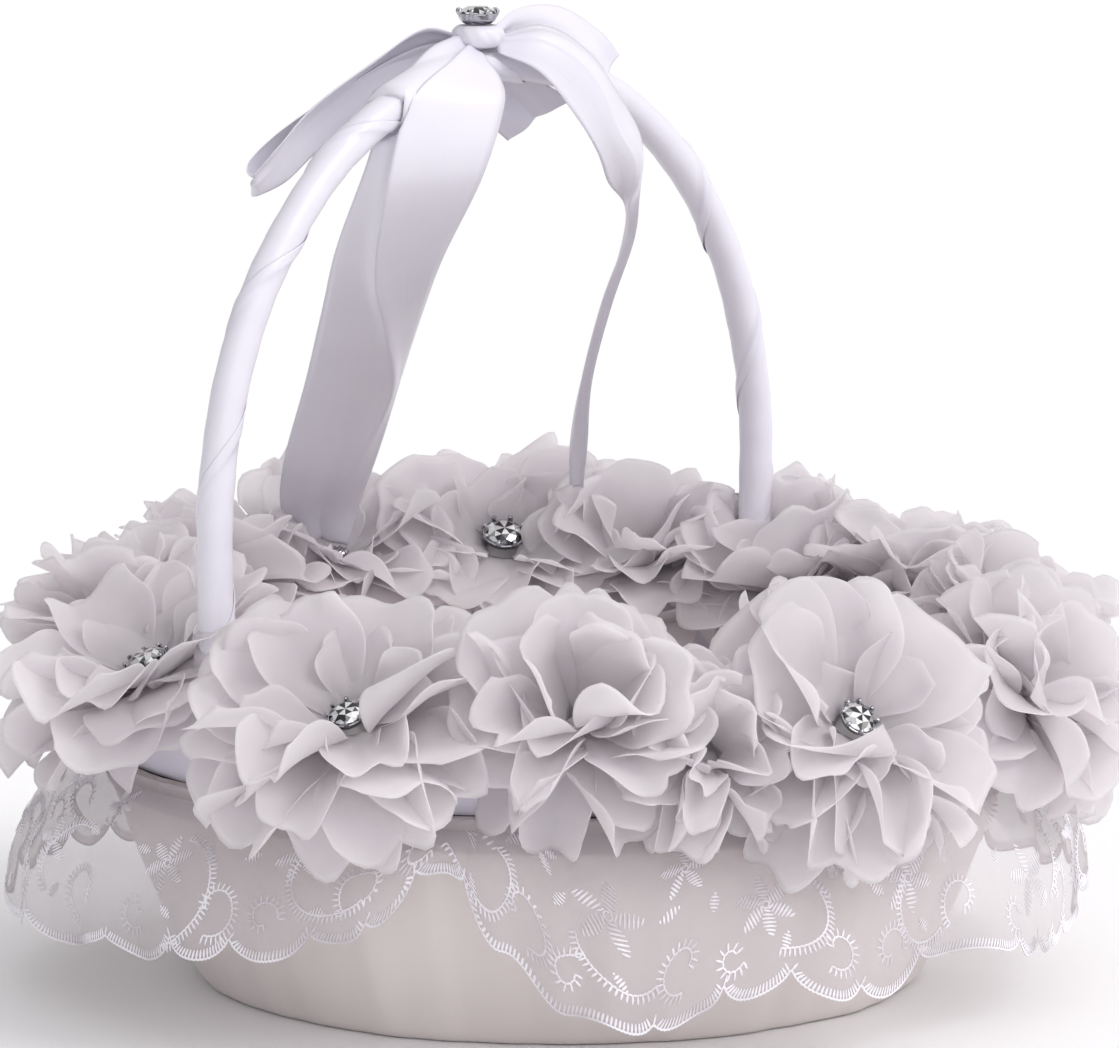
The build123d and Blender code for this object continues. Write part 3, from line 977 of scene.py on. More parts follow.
@dataclass
class Embroidery:
    """Raised stitches on the ruffle: an edging, lashed curls, daisies and sprigs."""

    ruffle: Ruffle
    stitch_width: float = 0.55 * MM
    stitch_rise: float = 0.35 * MM
    hook_stitch: float = 1.9 * MM
    hook_spacing: float = 1.1 * MM
    edge_stitch: float = 2.1 * MM
    edge_spacing: float = 1.0 * MM
    starts: list[np.ndarray] = field(default_factory=list)
    ends: list[np.ndarray] = field(default_factory=list)

    def add(self, starts: np.ndarray, ends: np.ndarray) -> None:
        """Keep stitches from one set of cloth points to another, in metres."""
        self.starts.append(np.asarray(starts, float).reshape(-1, 2))
        self.ends.append(np.asarray(ends, float).reshape(-1, 2))

    def lash(self, line: np.ndarray, reach: float, spacing: float) -> None:
        """Sew short stitches out to one side along a line of cloth points.

        Args:
            line: points of the line.
            reach: length of a stitch, to the left of the line when positive.
            spacing: distance between stitches.
        """
        step = np.linalg.norm(np.diff(line, axis=0), axis=1)
        along = np.concatenate([[0], np.cumsum(step)])
        count = max(3, int(along[-1] / spacing))
        at = np.linspace(0, along[-1], count)
        middle = np.stack([np.interp(at, along, line[:, k]) for k in (0, 1)], 1)
        heading = unit(np.gradient(middle, axis=0))
        side = np.stack([-heading[:, 1], heading[:, 0]], 1)
        self.add(middle, middle + side * reach + heading * reach * 0.25)
        self.add(middle[:-1], middle[1:])

    def curl(self, x: float, y: float, size: float, turn: float, way: int,
             sweep: float = 300.0, shrink: float = 0.66) -> None:
        """Lashed hook.

        Args:
            x: middle of the hook, along the hem.
            y: middle of the hook, up the cloth.
            size: radius at its first end.
            turn: direction of its first end, in radians.
            way: 1 to run anticlockwise, -1 to run clockwise.
            sweep: degrees that it runs through.
            shrink: share of its radius that it loses on the way.
        """
        t = np.linspace(0, 1, 40)
        angle = turn + way * t * math.radians(sweep)
        radius = size * (1 - shrink * t)
        line = np.stack([x + radius * np.cos(angle), y + radius * np.sin(angle)], 1)
        self.lash(line, -self.hook_stitch * way, self.hook_spacing)

    def daisy(self, x: float, y: float, size: float, turn: float, petals: int) -> None:
        """Flower of satin-stitched petals round a small eye.

        Each petal is a row of bars square to its own line, as long as a leaf is wide there.

        Args:
            x: middle of the flower, along the hem.
            y: middle of the flower, up the cloth.
            size: length of a petal.
            turn: direction of the first petal, in radians.
            petals: how many petals it has.
        """
        for k in range(petals):
            angle = turn + k * 2 * math.pi / petals
            way = np.array([math.cos(angle), math.sin(angle)])
            side = np.array([-way[1], way[0]])
            at = np.linspace(0.22, 1.0, 7)
            half = size * 0.24 * np.sin(math.pi * (at - 0.1)) ** 0.7
            middle = np.array([x, y]) + at[:, None] * size * way
            slant = way * size * 0.06
            self.add(middle - half[:, None] * side - slant, middle + half[:, None] * side + slant)
        eye = np.linspace(0, 2 * math.pi, 7)
        ring = np.array([x, y]) + size * 0.14 * np.stack([np.cos(eye), np.sin(eye)], 1)
        self.add(ring[:-1], ring[1:])

    def sprig(self, x: float, y: float, size: float, turn: float) -> None:
        """Small leaf of six bars.

        Args:
            x: foot of the leaf, along the hem.
            y: foot of the leaf, up the cloth.
            size: its length.
            turn: its direction, in radians.
        """
        way = np.array([math.cos(turn), math.sin(turn)])
        side = np.array([-way[1], way[0]])
        at = np.linspace(0, 1, 6)
        half = size * 0.3 * np.sin(math.pi * (0.1 + 0.8 * at))
        middle = np.array([x, y]) + at[:, None] * size * way
        self.add(middle - half[:, None] * side, middle + half[:, None] * side)

    def edging(self) -> None:
        """Rope of short stitches square to the scalloped edge, with a thread along it."""
        x = np.linspace(0, self.ruffle.girth(), 2400)
        line = np.stack([x, self.ruffle.edge(x) + 0.3 * MM], 1)
        self.lash(line, self.edge_stitch, self.edge_spacing)

    def motifs(self) -> None:
        """Curls, ladders, daisies and sprigs, one loose group over every pair of scallops."""
        rng = np.random.default_rng(31)
        pitch = 2 * self.ruffle.girth() / self.ruffle.scallops
        for k in range(self.ruffle.scallops // 2):
            way = 1 if k % 2 else -1
            x = (k + 0.5) * pitch + rng.uniform(-5, 5) * MM
            self.daisy(x, rng.uniform(18, 26) * MM, rng.uniform(6.5, 10) * MM,
                       rng.uniform(0, 2), int(rng.integers(5, 8)))
            self.curl(x + pitch * 0.42, rng.uniform(11, 14) * MM, rng.uniform(5, 7.5) * MM,
                      rng.uniform(-2.4, -1.2), way)
            self.curl(x - pitch * 0.22, rng.uniform(9, 11) * MM, rng.uniform(3.5, 5) * MM,
                      rng.uniform(-1.0, 1.0), -way)
            self.curl(x + pitch * rng.uniform(0.05, 0.3), rng.uniform(17, 23) * MM,
                      rng.uniform(11, 15) * MM, rng.uniform(-2.6, -0.6), way,
                      rng.uniform(95, 190), 0.2)
            self.sprig(x + pitch * 0.3, rng.uniform(26, 31) * MM, 5 * MM, rng.uniform(0, 6.2))
            self.sprig(x - pitch * 0.3, rng.uniform(22, 27) * MM, 4.5 * MM, rng.uniform(0, 6.2))
            self.sprig(x + pitch * 0.1, rng.uniform(8, 11) * MM, 4 * MM, rng.uniform(0, 6.2))
            self.daisy(x + pitch * 0.48, rng.uniform(33, 40) * MM, rng.uniform(5, 7) * MM,
                       rng.uniform(0, 2), 5)

    def build(self, thread: bpy.types.Material) -> bpy.types.Object:
        """Sew all stitches as one piece.

        A stitch is a three-by-three grid: a ridge that is highest on its middle line, set on
        the cloth along its normal. Painted light turns thread from bright to grey in a drift
        over the cloth, as painted lustre and shade.

        Args:
            thread: its finish.

        Returns:
            The stitches as one object.
        """
        self.edging()
        self.motifs()
        start, end = np.concatenate(self.starts), np.concatenate(self.ends)
        heading = unit(end - start)
        side = np.stack([-heading[:, 1], heading[:, 0]], 1)
        along = np.array([0.0, 0.5, 1.0])[None, :, None, None]
        across = np.array([-1.0, 0.0, 1.0])[None, None, :, None]
        belly = np.array([0.55, 1.0, 0.55])[None, :, None]
        flat = (start[:, None, None] + along * (end - start)[:, None, None]
                + across * belly[..., None] * side[:, None, None] * self.stitch_width / 2)
        rise = self.stitch_rise * belly * np.array([0.35, 1.0, 0.35])[None, None, :]
        x, y = flat[..., 0], flat[..., 1]
        step = 0.4 * MM
        here = self.ruffle.point(x, y)
        normal = unit(np.cross(self.ruffle.point(x + step, y) - here,
                               self.ruffle.point(x, y + step) - here))
        # Painted light: the drift paints some threads bright and others grey, as lustre and shade
        # that change over the cloth.
        drift = np.sin(x / (8 * MM) + 2 * np.sin(y / (6 * MM)) + 1.5 * np.sin(x / (21 * MM)))
        cells = Cells(here + normal * (rise + 0.08 * MM)[..., None], flat, 0.45 * drift - 0.15)
        return place(mesh_piece("embroidery_thread", [cells]), thread)


# ---------------------------------------------------------------- hoop


@dataclass
class Hoop:
    """Ribbon wound in a spiral round the hoop, and the sewn sockets of its legs."""

    carcass: Carcass
    bend_radius: float = 40 * MM
    pitch: float = 47 * MM
    overlap: float = 5 * MM
    step: float = 0.5 * MM
    steps_per_turn: int = 44
    wrap_thickness: float = 0.2 * MM
    sleeve_thickness: float = 0.4 * MM
    sleeve_width: float = 15 * MM

    def __post_init__(self) -> None:
        """Work out the hoop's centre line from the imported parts."""
        low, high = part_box("handle_wrap")
        core = node_points("handle_core")
        foot = core[(core[:, 2] < core[:, 2].min() + 4 * MM) & (core[:, 0] > 0)].mean(0)
        self.tube_radius = (high.y - low.y) / 2
        self.setback = (high.y + low.y) / 2
        self.top = high.z
        radius = high.x - self.tube_radius
        centre = high.z - self.tube_radius - radius
        lean = math.atan2(self.carcass.rim_radius - self.carcass.base_radius,
                          self.carcass.wall_height)
        knee = foot[2] + (radius - foot[0]) / math.tan(lean)
        cut = self.bend_radius * math.tan(lean / 2)
        leg = math.hypot(radius - foot[0], knee - foot[2]) - cut
        marks = np.cumsum([0, leg, self.bend_radius * lean, centre - knee - cut,
                           math.pi * radius / 2])
        at = np.arange(0, marks[-1], self.step)
        heading = np.interp(at, marks, [lean, lean, 0, 0, -math.pi / 2])
        x = foot[0] + np.concatenate([[0], np.cumsum(np.sin(heading[:-1]) * self.step)])
        z = foot[2] + np.concatenate([[0], np.cumsum(np.cos(heading[:-1]) * self.step)])
        right = np.stack([x, np.full_like(x, self.setback), z], 1)
        left = right * np.array([-1, 1, 1])
        self.line = np.concatenate([left, right[::-1][1:]])
        self.tangent = unit(np.gradient(self.line, axis=0))
        self.length = (len(self.line) - 1) * self.step

    def on_tube(self, s: np.ndarray, angle: np.ndarray, radius: np.ndarray) -> np.ndarray:
        """Points near the hoop's centre line.

        Args:
            s: distance along the hoop, from its left foot.
            angle: angle round the line, in radians.
            radius: distance from the line.

        Returns:
            The centre, plus the radius along cos(angle) level and sin(angle) square to it.
        """
        at = np.clip(s, 0, self.length) / self.step
        index = np.arange(len(self.line))
        centre = np.stack([np.interp(at, index, self.line[:, k]) for k in range(3)], -1)
        tangent = np.stack([np.interp(at, index, self.tangent[:, k]) for k in range(3)], -1)
        level = np.array([0.0, 1.0, 0.0])
        square = np.cross(unit(tangent), level)
        return centre + (radius * np.cos(angle))[..., None] * level + (
            radius * np.sin(angle))[..., None] * square

    def wrap(self, satin: bpy.types.Material) -> None:
        """Ribbon whose laps climb the hoop, each edge lying over the lap before it.

        A point at an angle a and a distance w across the ribbon lies at pitch x a / turn + w
        along the hoop. Its radius rises where it covers the lap before.

        Args:
            satin: its finish.
        """
        width = self.pitch + self.overlap
        turns = (self.length + width) / self.pitch
        angle = np.linspace(-width / self.pitch * 2 * math.pi, turns * 2 * math.pi,
                            int(turns * self.steps_per_turn))[:, None]
        w = np.concatenate([np.linspace(0, width - self.overlap, 30)[:-1],
                            np.linspace(width - self.overlap, width, 8)])[None, :]
        s = self.pitch * angle / (2 * math.pi) + w
        rng = np.random.default_rng(41)
        crease = 0.10 * MM * np.sin(w / (6 * MM) + 3 * waves(angle / 7, rng, range(1, 6), 0.5))
        lap = 0.45 * MM * smoothstep(w, self.pitch - 2 * MM, self.pitch + 0.6 * MM)
        radius = self.tube_radius - 0.45 * MM + lap + crease + 0.06 * MM * np.sin(s / (1.7 * MM))
        grid = self.on_tube(s, np.broadcast_to(angle, s.shape), radius)
        uv = np.stack([np.broadcast_to(w, s.shape), s], -1)
        # Painted shade along the edge where each lap lies over the one before.
        lap_edge_shade = np.exp(-(((w - self.pitch) / (1.2 * MM)) ** 2)) * 0.35
        piece = weld(mesh_piece("spiral_ribbon_wrap", [
            Patch(grid, uv, tone=np.broadcast_to(lap_edge_shade, s.shape))]))
        thicken(piece, self.wrap_thickness)
        place(piece, satin, ("handle_wrap",))
        declare(piece, width)

    def sockets(self, satin: bpy.types.Material) -> None:
        """Short puckered sleeves that hold the feet against the lining.

        Args:
            satin: their finish.
        """
        for name, end in (("handle_socket_left", False), ("handle_socket_right", True)):
            low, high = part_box(name)
            rise = (high.z - low.z) * 0.93
            s = np.linspace(1.2 * MM, rise, 14)[:, None]
            angle = around(72)
            rng = np.random.default_rng(42 + end)
            pucker = 0.22 * MM * waves(angle, rng, range(6, 20), 0.3)
            where = self.length - s if end else s
            where, angle, pucker = np.broadcast_arrays(where, angle, pucker)
            grid = self.on_tube(where, angle, self.tube_radius + 0.75 * MM + pucker)
            uv = np.stack([angle * self.tube_radius, where], -1)
            piece = mesh_piece(f"{name}_sleeve", [Patch(grid, uv, close_columns=True,
                                                        flip=not end)])
            thicken(piece, self.sleeve_thickness)
            place(piece, satin, (name,))
            declare(piece, self.sleeve_width)

    def clear(self, points: np.ndarray, gap: float) -> np.ndarray:
        """Move points that are in the wrapped tube out of it.

        Args:
            points: points of a piece that passes near the hoop.
            gap: how far from the wrap's surface they must end.

        Returns:
            The points, with those that were nearer moved straight out from the centre line.
        """
        flat = points.reshape(-1, 3).copy()
        reach = self.tube_radius + gap
        low, high = self.line.min(0) - reach, self.line.max(0) + reach
        near = np.flatnonzero(((flat > low) & (flat < high)).all(1))
        thin = self.line[::2]
        for part in np.array_split(near, max(1, len(near) // 1500)):
            away = flat[part][:, None] - thin[None]
            distance = np.linalg.norm(away, axis=2)
            closest = distance.argmin(1)
            rows = np.arange(len(part))
            found = distance[rows, closest]
            inside = found < reach
            push = away[rows, closest] / np.maximum(found, 1e-6)[:, None]
            flat[part[inside]] = (thin[closest] + push * reach)[inside]
        return flat.reshape(points.shape)


# ---------------------------------------------------------------- flowers and stones


@dataclass(frozen=True)
class Layer:
    """One die-cut layer of petals in a flower."""

    petals: int
    length: float
    width: float
    rise_base: float
    rise_tip: float
    lift: float


class Bloom(Enum):
    """How a flower's layers are stacked."""

    WITH_STONE = (Layer(8, 1.0, 0.88, 0, -28, 1.6), Layer(8, 1.0, 0.84, 14, -12, 2.2),
                  Layer(7, 0.98, 0.84, 26, 6, 2.9), Layer(6, 0.92, 0.84, 36, 18, 3.6),
                  Layer(4, 0.56, 0.56, 40, 22, 4.2))
    FULL = (Layer(8, 1.0, 0.88, 0, -28, 1.6), Layer(8, 1.0, 0.84, 14, -8, 2.3),
            Layer(7, 0.98, 0.84, 30, 16, 3.1), Layer(6, 0.92, 0.82, 46, 40, 3.9),
            Layer(4, 0.82, 0.80, 60, 58, 4.7))


@dataclass
class Flower:
    """A rosette of die-cut chiffon petals on a felt disc."""

    name: str
    axes: Axes
    radius: float
    stone_radius: float
    seed: int
    rows: int = 20
    columns: int = 17
    head_height: float = 9.5 * MM

    @property
    def heart(self) -> np.ndarray:
        """Middle of the flower's head."""
        return self.axes.origin + self.axes.axis * self.head_height

    def crowding(self, out: np.ndarray, rise: np.ndarray, length: np.ndarray,
                 hearts: list[np.ndarray]) -> np.ndarray:
        """How far the neighbours push each petal up.

        Args:
            out: direction of each petal, square to the flower's axis.
            rise: its mean rise in radians.
            length: its length.
            hearts: middles of the other flowers.

        Returns:
            Radians in proportion to how far the petal's tip would pass the plane midway
            to a neighbour, as a share of its length.
        """
        tip = self.axes.origin + length[:, None] * (
            np.cos(rise)[:, None] * out + np.sin(rise)[:, None] * self.axes.axis)
        push = np.zeros(len(length))
        most = 0.35 if self.stone_radius else 0.8
        for there in hearts:
            away = unit(self.heart - there)
            past = (tip - (self.heart + there) / 2) @ away
            push = np.maximum(push, np.clip(-past / length * 1.3, 0, most))
        return push

    def petals(self, hearts: list[np.ndarray]) -> Cells:
        """All petals of the flower.

        Args:
            hearts: middles of the other flowers near this one.

        Returns:
            Petal grids. Along a petal its rise angle goes evenly from base to tip, so the
            centre line is an arc. Across, the cloth lies on a circle whose angle is the curl,
            which grows on petals that hang down, and a third of the petals are folded on
            their middle line. The tip is rounded and lobed, and its edge ripples.
        """
        rng = np.random.default_rng(self.seed)
        kinds = (Bloom.WITH_STONE if self.stone_radius else Bloom.FULL).value
        rows = []
        for number, layer in enumerate(kinds):
            start = rng.uniform(0, 2 * math.pi)
            for k in range(layer.petals):
                rows.append((start + 2 * math.pi * k / layer.petals, layer.length, layer.width,
                             layer.rise_base, layer.rise_tip, layer.lift, number))
        bearing, length, width, rise_base, rise_tip, lift, number = np.array(rows).T
        count = len(bearing)
        bearing = bearing + rng.normal(0, 0.17 + 0.03 * number, count)
        length = self.radius * length * rng.uniform(0.86, 1.05, count)
        half = self.radius * width * 0.53 * rng.uniform(0.74, 1.24, count)
        out = (np.cos(bearing)[:, None] * self.axes.across
               + np.sin(bearing)[:, None] * self.axes.beside)
        hang = np.clip(-out[:, 2], -1, 1)
        low = np.maximum(hang, 0)
        loose = np.where((number > 2) & (self.stone_radius > 0), 0.4, 1.0)
        loose = loose * np.clip(rng.normal(0, 1, (2, count)), -1.7, 1.1)
        rise0 = np.radians(rise_base + 7 * loose[0] - 20 * low * (number > 0))
        rise1 = np.radians(rise_tip + 14 * loose[1] - 38 * low + 6 * np.minimum(hang, 0))
        pushed = self.crowding(out, (rise0 + rise1) / 2, length, hearts)
        rise0, rise1 = rise0 + 0.5 * pushed, rise1 + pushed
        rise1 = np.where(np.abs(rise1 - rise0) < 0.05, rise0 + 0.05, rise1)
        curl = rng.uniform(0.2, 0.8, count) + 1.5 * low**1.5 + 0.3 * (number > 2)
        curl = np.where(rng.uniform(size=count) < 0.16 * (1 - low), -0.8, curl)
        fold = rng.uniform(0.4, 1.0, count) * (rng.uniform(size=count) < 0.36)
        half = half * (1 - 0.26 * low**1.5)
        twist = rng.normal(0, 0.34, count)
        notch = rng.uniform(0, 0.13, count) * (rng.uniform(size=count) < 0.65)
        point = 0.42 * (rng.uniform(size=count) < 0.14)
        phase = rng.uniform(0, 2 * math.pi, (4, count))

        def each(values: np.ndarray) -> np.ndarray:
            """Values of the petals, ready to work with the rows and columns of a grid."""
            return np.asarray(values)[:, None, None]

        u = np.linspace(0, 1, self.rows)[None, :, None]
        v = np.sin(np.linspace(-1, 1, self.columns) * math.pi / 2 * 0.985)[None, None, :]
        side = np.abs(v)
        edge = 1 - 0.20 * side**4 - each(notch) * np.exp(-((v / 0.2) ** 2)) - each(point) * side
        edge = edge + 0.030 * np.sin(5.5 * v + each(phase[3]))
        share = u * edge
        s = share * each(length)
        across = each(half) * v * (0.15 + 0.85 * smoothstep(u, -0.12, 0.68)) * (
            1 - 0.10 * smoothstep(u, 0.7, 1.0))
        bend = each(rise1 - rise0)
        angle = each(rise0) + bend * share
        ahead = each(length) / bend * (np.sin(angle) - np.sin(each(rise0)))
        up = -each(length) / bend * (np.cos(angle) - np.cos(each(rise0)))
        turn = each(curl) * (0.55 + 0.45 * u) / each(half)
        lateral, proud = np.sin(turn * across) / turn, (1 - np.cos(turn * across)) / turn
        ripple = (1.4 * MM * side**2 * u * np.sin(2.1 * math.pi * u * 1.3 + each(phase[0]) + v)
                  + 1.3 * MM * u**4 * np.sin(4.6 * v + each(phase[1]))
                  + 0.25 * MM * (1 - u) * u * 4 * np.sin(8 * v + each(phase[2])))
        crease = each(fold * half) * 0.45 * np.sqrt(v**2 + 0.01) * u
        proud = proud + ripple + crease
        roll = each(twist) * u
        beside = np.cross(self.axes.axis, out)[:, None, None]
        axis, out_dir = self.axes.axis[None, None, None], out[:, None, None]
        tilt_n = np.cos(angle)[..., None] * axis - np.sin(angle)[..., None] * out_dir
        cosine, sine = np.cos(roll)[..., None], np.sin(roll)[..., None]
        base = max(2.2 * MM, self.stone_radius * 0.85)
        points = (self.axes.origin + (each(lift) * MM + up)[..., None] * axis
                  + (base + ahead)[..., None] * out_dir
                  + lateral[..., None] * (beside * cosine + tilt_n * sine)
                  + proud[..., None] * (tilt_n * cosine - beside * sine))
        uv = np.stack([np.broadcast_to(across, points.shape[:3]), s], -1)
        # Painted light: painted shade at each petal's base, deep in the flower, and on petals that
        # hang down; a painted highlight along the rims and tip.
        rim_highlight = np.maximum(smoothstep(side, 0.90, 1.0), smoothstep(u, 0.93, 1.0))
        tone = 0.5 * (1 - share) ** 1.8 - 0.1 - 0.4 * rim_highlight + 0.1 * each(low)
        return Cells(points, uv, np.broadcast_to(tone, points.shape[:3]))


@dataclass
class ClawSetting:
    """Claw cup with prongs bent over a cut stone."""

    axes: Axes
    radius: float
    claws: int = 8
    claw_radius: float = 0.085

    @classmethod
    def read(cls, node: str, axis: np.ndarray) -> "ClawSetting":
        """Find a packed claw cup.

        Args:
            node: the cup's node.
            axis: direction that the cup faces.

        Returns:
            The setting at the cup's lowest point, as wide as the cup's furthest point.
        """
        points = node_points(node)
        middle = points.mean(0)
        above = (points - middle) @ axis
        square = np.linalg.norm(points - middle - above[:, None] * axis, axis=1)
        return cls(Axes.along(middle + axis * above.min(), axis), float(square.max()))

    def metal(self, name: str, node: str, plate: bpy.types.Material) -> None:
        """Cup turned from a profile, with tapered prongs bent in over its lip.

        Args:
            name: the piece's name.
            node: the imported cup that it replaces.
            plate: its finish.
        """
        r = self.radius
        profile = spline(np.array([(0, 0), (0.5, 0), (0.8, 0.14), (0.97, 0.42), (1.0, 0.52),
                                   (0.9, 0.54), (0.84, 0.36), (0.4, 0.16), (0, 0.14)]), 30) * r
        cup = turned(profile[:, :1].clip(0), profile[:, 1:], around(48))
        patches = [Patch(self.axes.out(cup), close_columns=True, flip=True)]
        for k in range(self.claws):
            a = 2 * math.pi * (k + 0.5) / self.claws
            line = spline(np.array([(0.93, 0.38), (1.03, 0.6), (0.98, 0.74), (0.84, 0.78)]),
                          9) * r
            thick = self.claw_radius * r * np.array(
                [1.0, 1.0, 0.98, 0.95, 0.9, 0.85, 0.75, 0.6, 0.02])
            ring = around(8)
            away = line[:, :1] + thick[:, None] * np.cos(ring)
            rise = line[:, 1:] + thick[:, None] * np.cos(ring) * 0.6
            wide = thick[:, None] * np.sin(ring) * 1.5
            local = np.stack([away * math.cos(a) - wide * math.sin(a),
                              away * math.sin(a) + wide * math.cos(a), rise], -1)
            patches.append(Patch(self.axes.out(local), close_columns=True, flip=True))
        piece = weld(mesh_piece(name, patches))
        place(piece, plate, (node,))

    def stone(self, name: str, node: str, glass: bpy.types.Material, seed: int) -> None:
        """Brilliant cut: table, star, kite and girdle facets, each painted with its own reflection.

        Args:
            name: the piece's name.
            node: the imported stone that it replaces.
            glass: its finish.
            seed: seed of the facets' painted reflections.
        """
        r = self.radius
        rng = np.random.default_rng(seed)

        def ring(count: int, radius: float, height: float, shift: float) -> np.ndarray:
            """Points of a level ring.

            Args:
                count: how many points.
                radius: its radius, in cup radii.
                height: its height over the seat, in cup radii.
                shift: how far it is turned, in steps between points.

            Returns:
                The points, in the setting's axes.
            """
            a = (np.arange(count) + shift) * 2 * math.pi / count
            return np.stack([radius * r * np.cos(a), radius * r * np.sin(a),
                             np.full(count, height * r)], 1)

        def fan(point: np.ndarray, count: int) -> np.ndarray:
            """One point, as many times over as there are facets round it."""
            return np.broadcast_to(point, (count, 3))

        table, crown = ring(8, 0.50, 0.86, 0.5), ring(8, 0.72, 0.76, 0.0)
        girdle, belt = ring(16, 0.90, 0.62, 0.0), ring(16, 0.90, 0.56, 0.0)
        top, culet = np.array([0, 0, 0.86 * r]), np.array([0, 0, 0.20 * r])
        k, n = np.arange(8), np.arange(16)
        after = (k + 1) % 8
        near, far = girdle[2 * k], girdle[(2 * k + 2) % 16]
        between = girdle[2 * k + 1]
        groups = [(fan(top, 8), table[k], table[after]), (table[k], crown[after], table[after]),
                  (table[k], crown[k], between), (table[k], between, crown[after]),
                  (crown[k], near, between), (crown[after], between, far),
                  (girdle[n], belt[n], belt[(n + 1) % 16]),
                  (girdle[n], belt[(n + 1) % 16], girdle[(n + 1) % 16]),
                  (belt[n], fan(culet, 16), belt[(n + 1) % 16])]
        corners = np.concatenate([np.stack(group, 1) for group in groups])
        # Painted reflections: each facet gets a fixed dark, mid or bright glint colour, and the
        # table's facets alternate dark and bright.
        tones, shares = [0.0, 0.08, 0.35, 0.8, 1.0], [0.22, 0.14, 0.2, 0.22, 0.22]
        glints = rng.choice(tones, len(corners), p=shares)
        glints[:8] = np.tile([0.0, 0.9], 4)
        mesh = bpy.data.meshes.new(name)
        verts = self.axes.out(corners.reshape(-1, 3))
        faces = np.arange(len(verts)).reshape(-1, 3)
        mesh.from_pydata(verts.tolist(), [], faces.tolist())
        tone = mesh.attributes.new("tone", "FLOAT", "POINT")
        tone.data.foreach_set("value", np.repeat(glints, 3).astype(np.float32))
        piece = bpy.data.objects.new(name, mesh)
        bpy.context.scene.collection.objects.link(piece)
        place(piece, glass, (node,))


# Flowers whose usual draw would close their petals over the stone have a seed of their own.
OPEN_SEEDS = {"04": 73, "11": 86}
PETAL_SEED = 50
STONE_SEED = 80
BOW_STONE_SEED = 79


@dataclass
class Garland:
    """The ring of flowers on the rim, with the stones in some of them."""

    hoop: Hoop
    petal_thickness: float = 0.16 * MM
    disc_half: float = 0.6 * MM
    neighbour: float = 85 * MM
    hoop_gap: float = 1.0 * MM

    def read(self) -> list[Flower]:
        """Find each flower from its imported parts.

        Returns:
            Flowers seated under the middle of their felt discs. The axis is the direction in
            which the disc is thinnest, and the radius is the furthest reach of the petals.
        """
        flowers = []
        for name in sorted(n[-2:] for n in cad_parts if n.startswith("felt_disc_")):
            disc = node_points(f"felt_disc_{name}")
            middle = (disc.min(0) + disc.max(0)) / 2
            axis = np.linalg.svd(disc - disc.mean(0))[2][2]
            axis = axis * math.copysign(1, axis[2])
            seat = middle - axis * self.disc_half
            petals = node_points(f"petals_{name}")
            high = (petals - seat) @ axis
            reach = float(np.linalg.norm(petals - seat - high[:, None] * axis, axis=1).max())
            stone = 0.0
            if f"claw_setting_{name}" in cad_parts:
                stone = ClawSetting.read(f"claw_setting_{name}", axis).radius
            seed = OPEN_SEEDS.get(name, PETAL_SEED + int(name))
            flowers.append(Flower(name, Axes.along(seat, axis), reach, stone, seed))
        return flowers

    def build(self, chiffon: bpy.types.Material, plate: bpy.types.Material,
              glass: bpy.types.Material) -> None:
        """Make every rosette, with its claw setting and stone where it has one.

        Args:
            chiffon: finish of the petals.
            plate: finish of the claw cups.
            glass: finish of the stones.
        """
        flowers = self.read()
        for flower in flowers:
            hearts = [other.heart for other in flowers if other is not flower
                      and np.linalg.norm(other.heart - flower.heart) < self.neighbour]
            cells = flower.petals(hearts)
            cells.points = self.hoop.clear(cells.points, self.hoop_gap)
            piece = mesh_piece(f"rosette_{flower.name}", [cells])
            thicken(piece, self.petal_thickness)
            place(piece, chiffon, (f"petals_{flower.name}",))
            declare(piece, 2 * flower.radius)
            node = f"claw_setting_{flower.name}"
            if flower.stone_radius:
                setting = ClawSetting.read(node, flower.axes.axis)
                setting.metal(f"claw_cup_{flower.name}", node, plate)
                setting.stone(f"brilliant_{flower.name}", f"stone_{flower.name}", glass,
                              STONE_SEED + int(flower.name))


# ---------------------------------------------------------------- bow


@dataclass(frozen=True)
class Station:
    """A place on a ribbon, in mm from the top of the hoop.

    The ribbon runs from centre - half to centre + half, and stands proud by the ridge at a
    share of the way from its centre to an edge, from -1 to 1.
    """

    centre: tuple[float, float, float]
    half: tuple[float, float, float]
    ridge: float = 0.0
    share: float = 0.0


@dataclass(frozen=True)
class Strip:
    """One ribbon of the bow."""

    name: str
    replaced: str
    stations: tuple[Station, ...]
    rests_on: str = "ribbon_knot"


WIDE_TAIL = Strip("wide_tail", "bow_tail_wide", (
    Station((-13, -1, 1), (2, -3, -2), -1), Station((-19, -4, -4), (8, -6, -3), -3, -0.3),
    Station((-29, -7, -13), (13, -8, -1), -5, -0.7),
    Station((-34, -4, -30), (12, -9, -1), -7, -0.7),
    Station((-26, 14, -51), (10, -9, -1), -8, -0.3), Station((-12, 32, -68), (9, -9, 0), -8, 0.25),
    Station((3, 52, -89), (9, -8, 0), -6, 0.8), Station((15, 70, -112), (9, -8, 0), -4, 0.4),
    Station((26, 83, -127), (8, -7, 0), -2), Station((32, 88, -138), (5, -5, -1), 0)),
    rests_on="spiral_ribbon_wrap")
SLIM_TAIL = Strip("slim_tail", "bow_tail_slim", (
    Station((-5, -3, 1), (-1, -2, -2), 1), Station((5, -10, 0), (-4, -3, -6), 3),
    Station((16, -14, -9), (-6, -3, -8), 4), Station((27, -14, -20), (-7, -2, -7), 4, 0.3),
    Station((37, -12, -31), (-6, 1, -5), 3), Station((44, -8, -42), (1, 3.4, -1), 1),
    Station((50, -2, -52), (2, 3.4, 0), 0), Station((59, 12, -71), (2.2, 3.2, 0), 1),
    Station((68, 26, -93), (2.8, 4, 0), 1), Station((76, 35, -111), (3.6, 5.5, 0), 1),
    Station((80, 39, -124), (2, 4, 0), 0)), rests_on="spiral_ribbon_wrap")
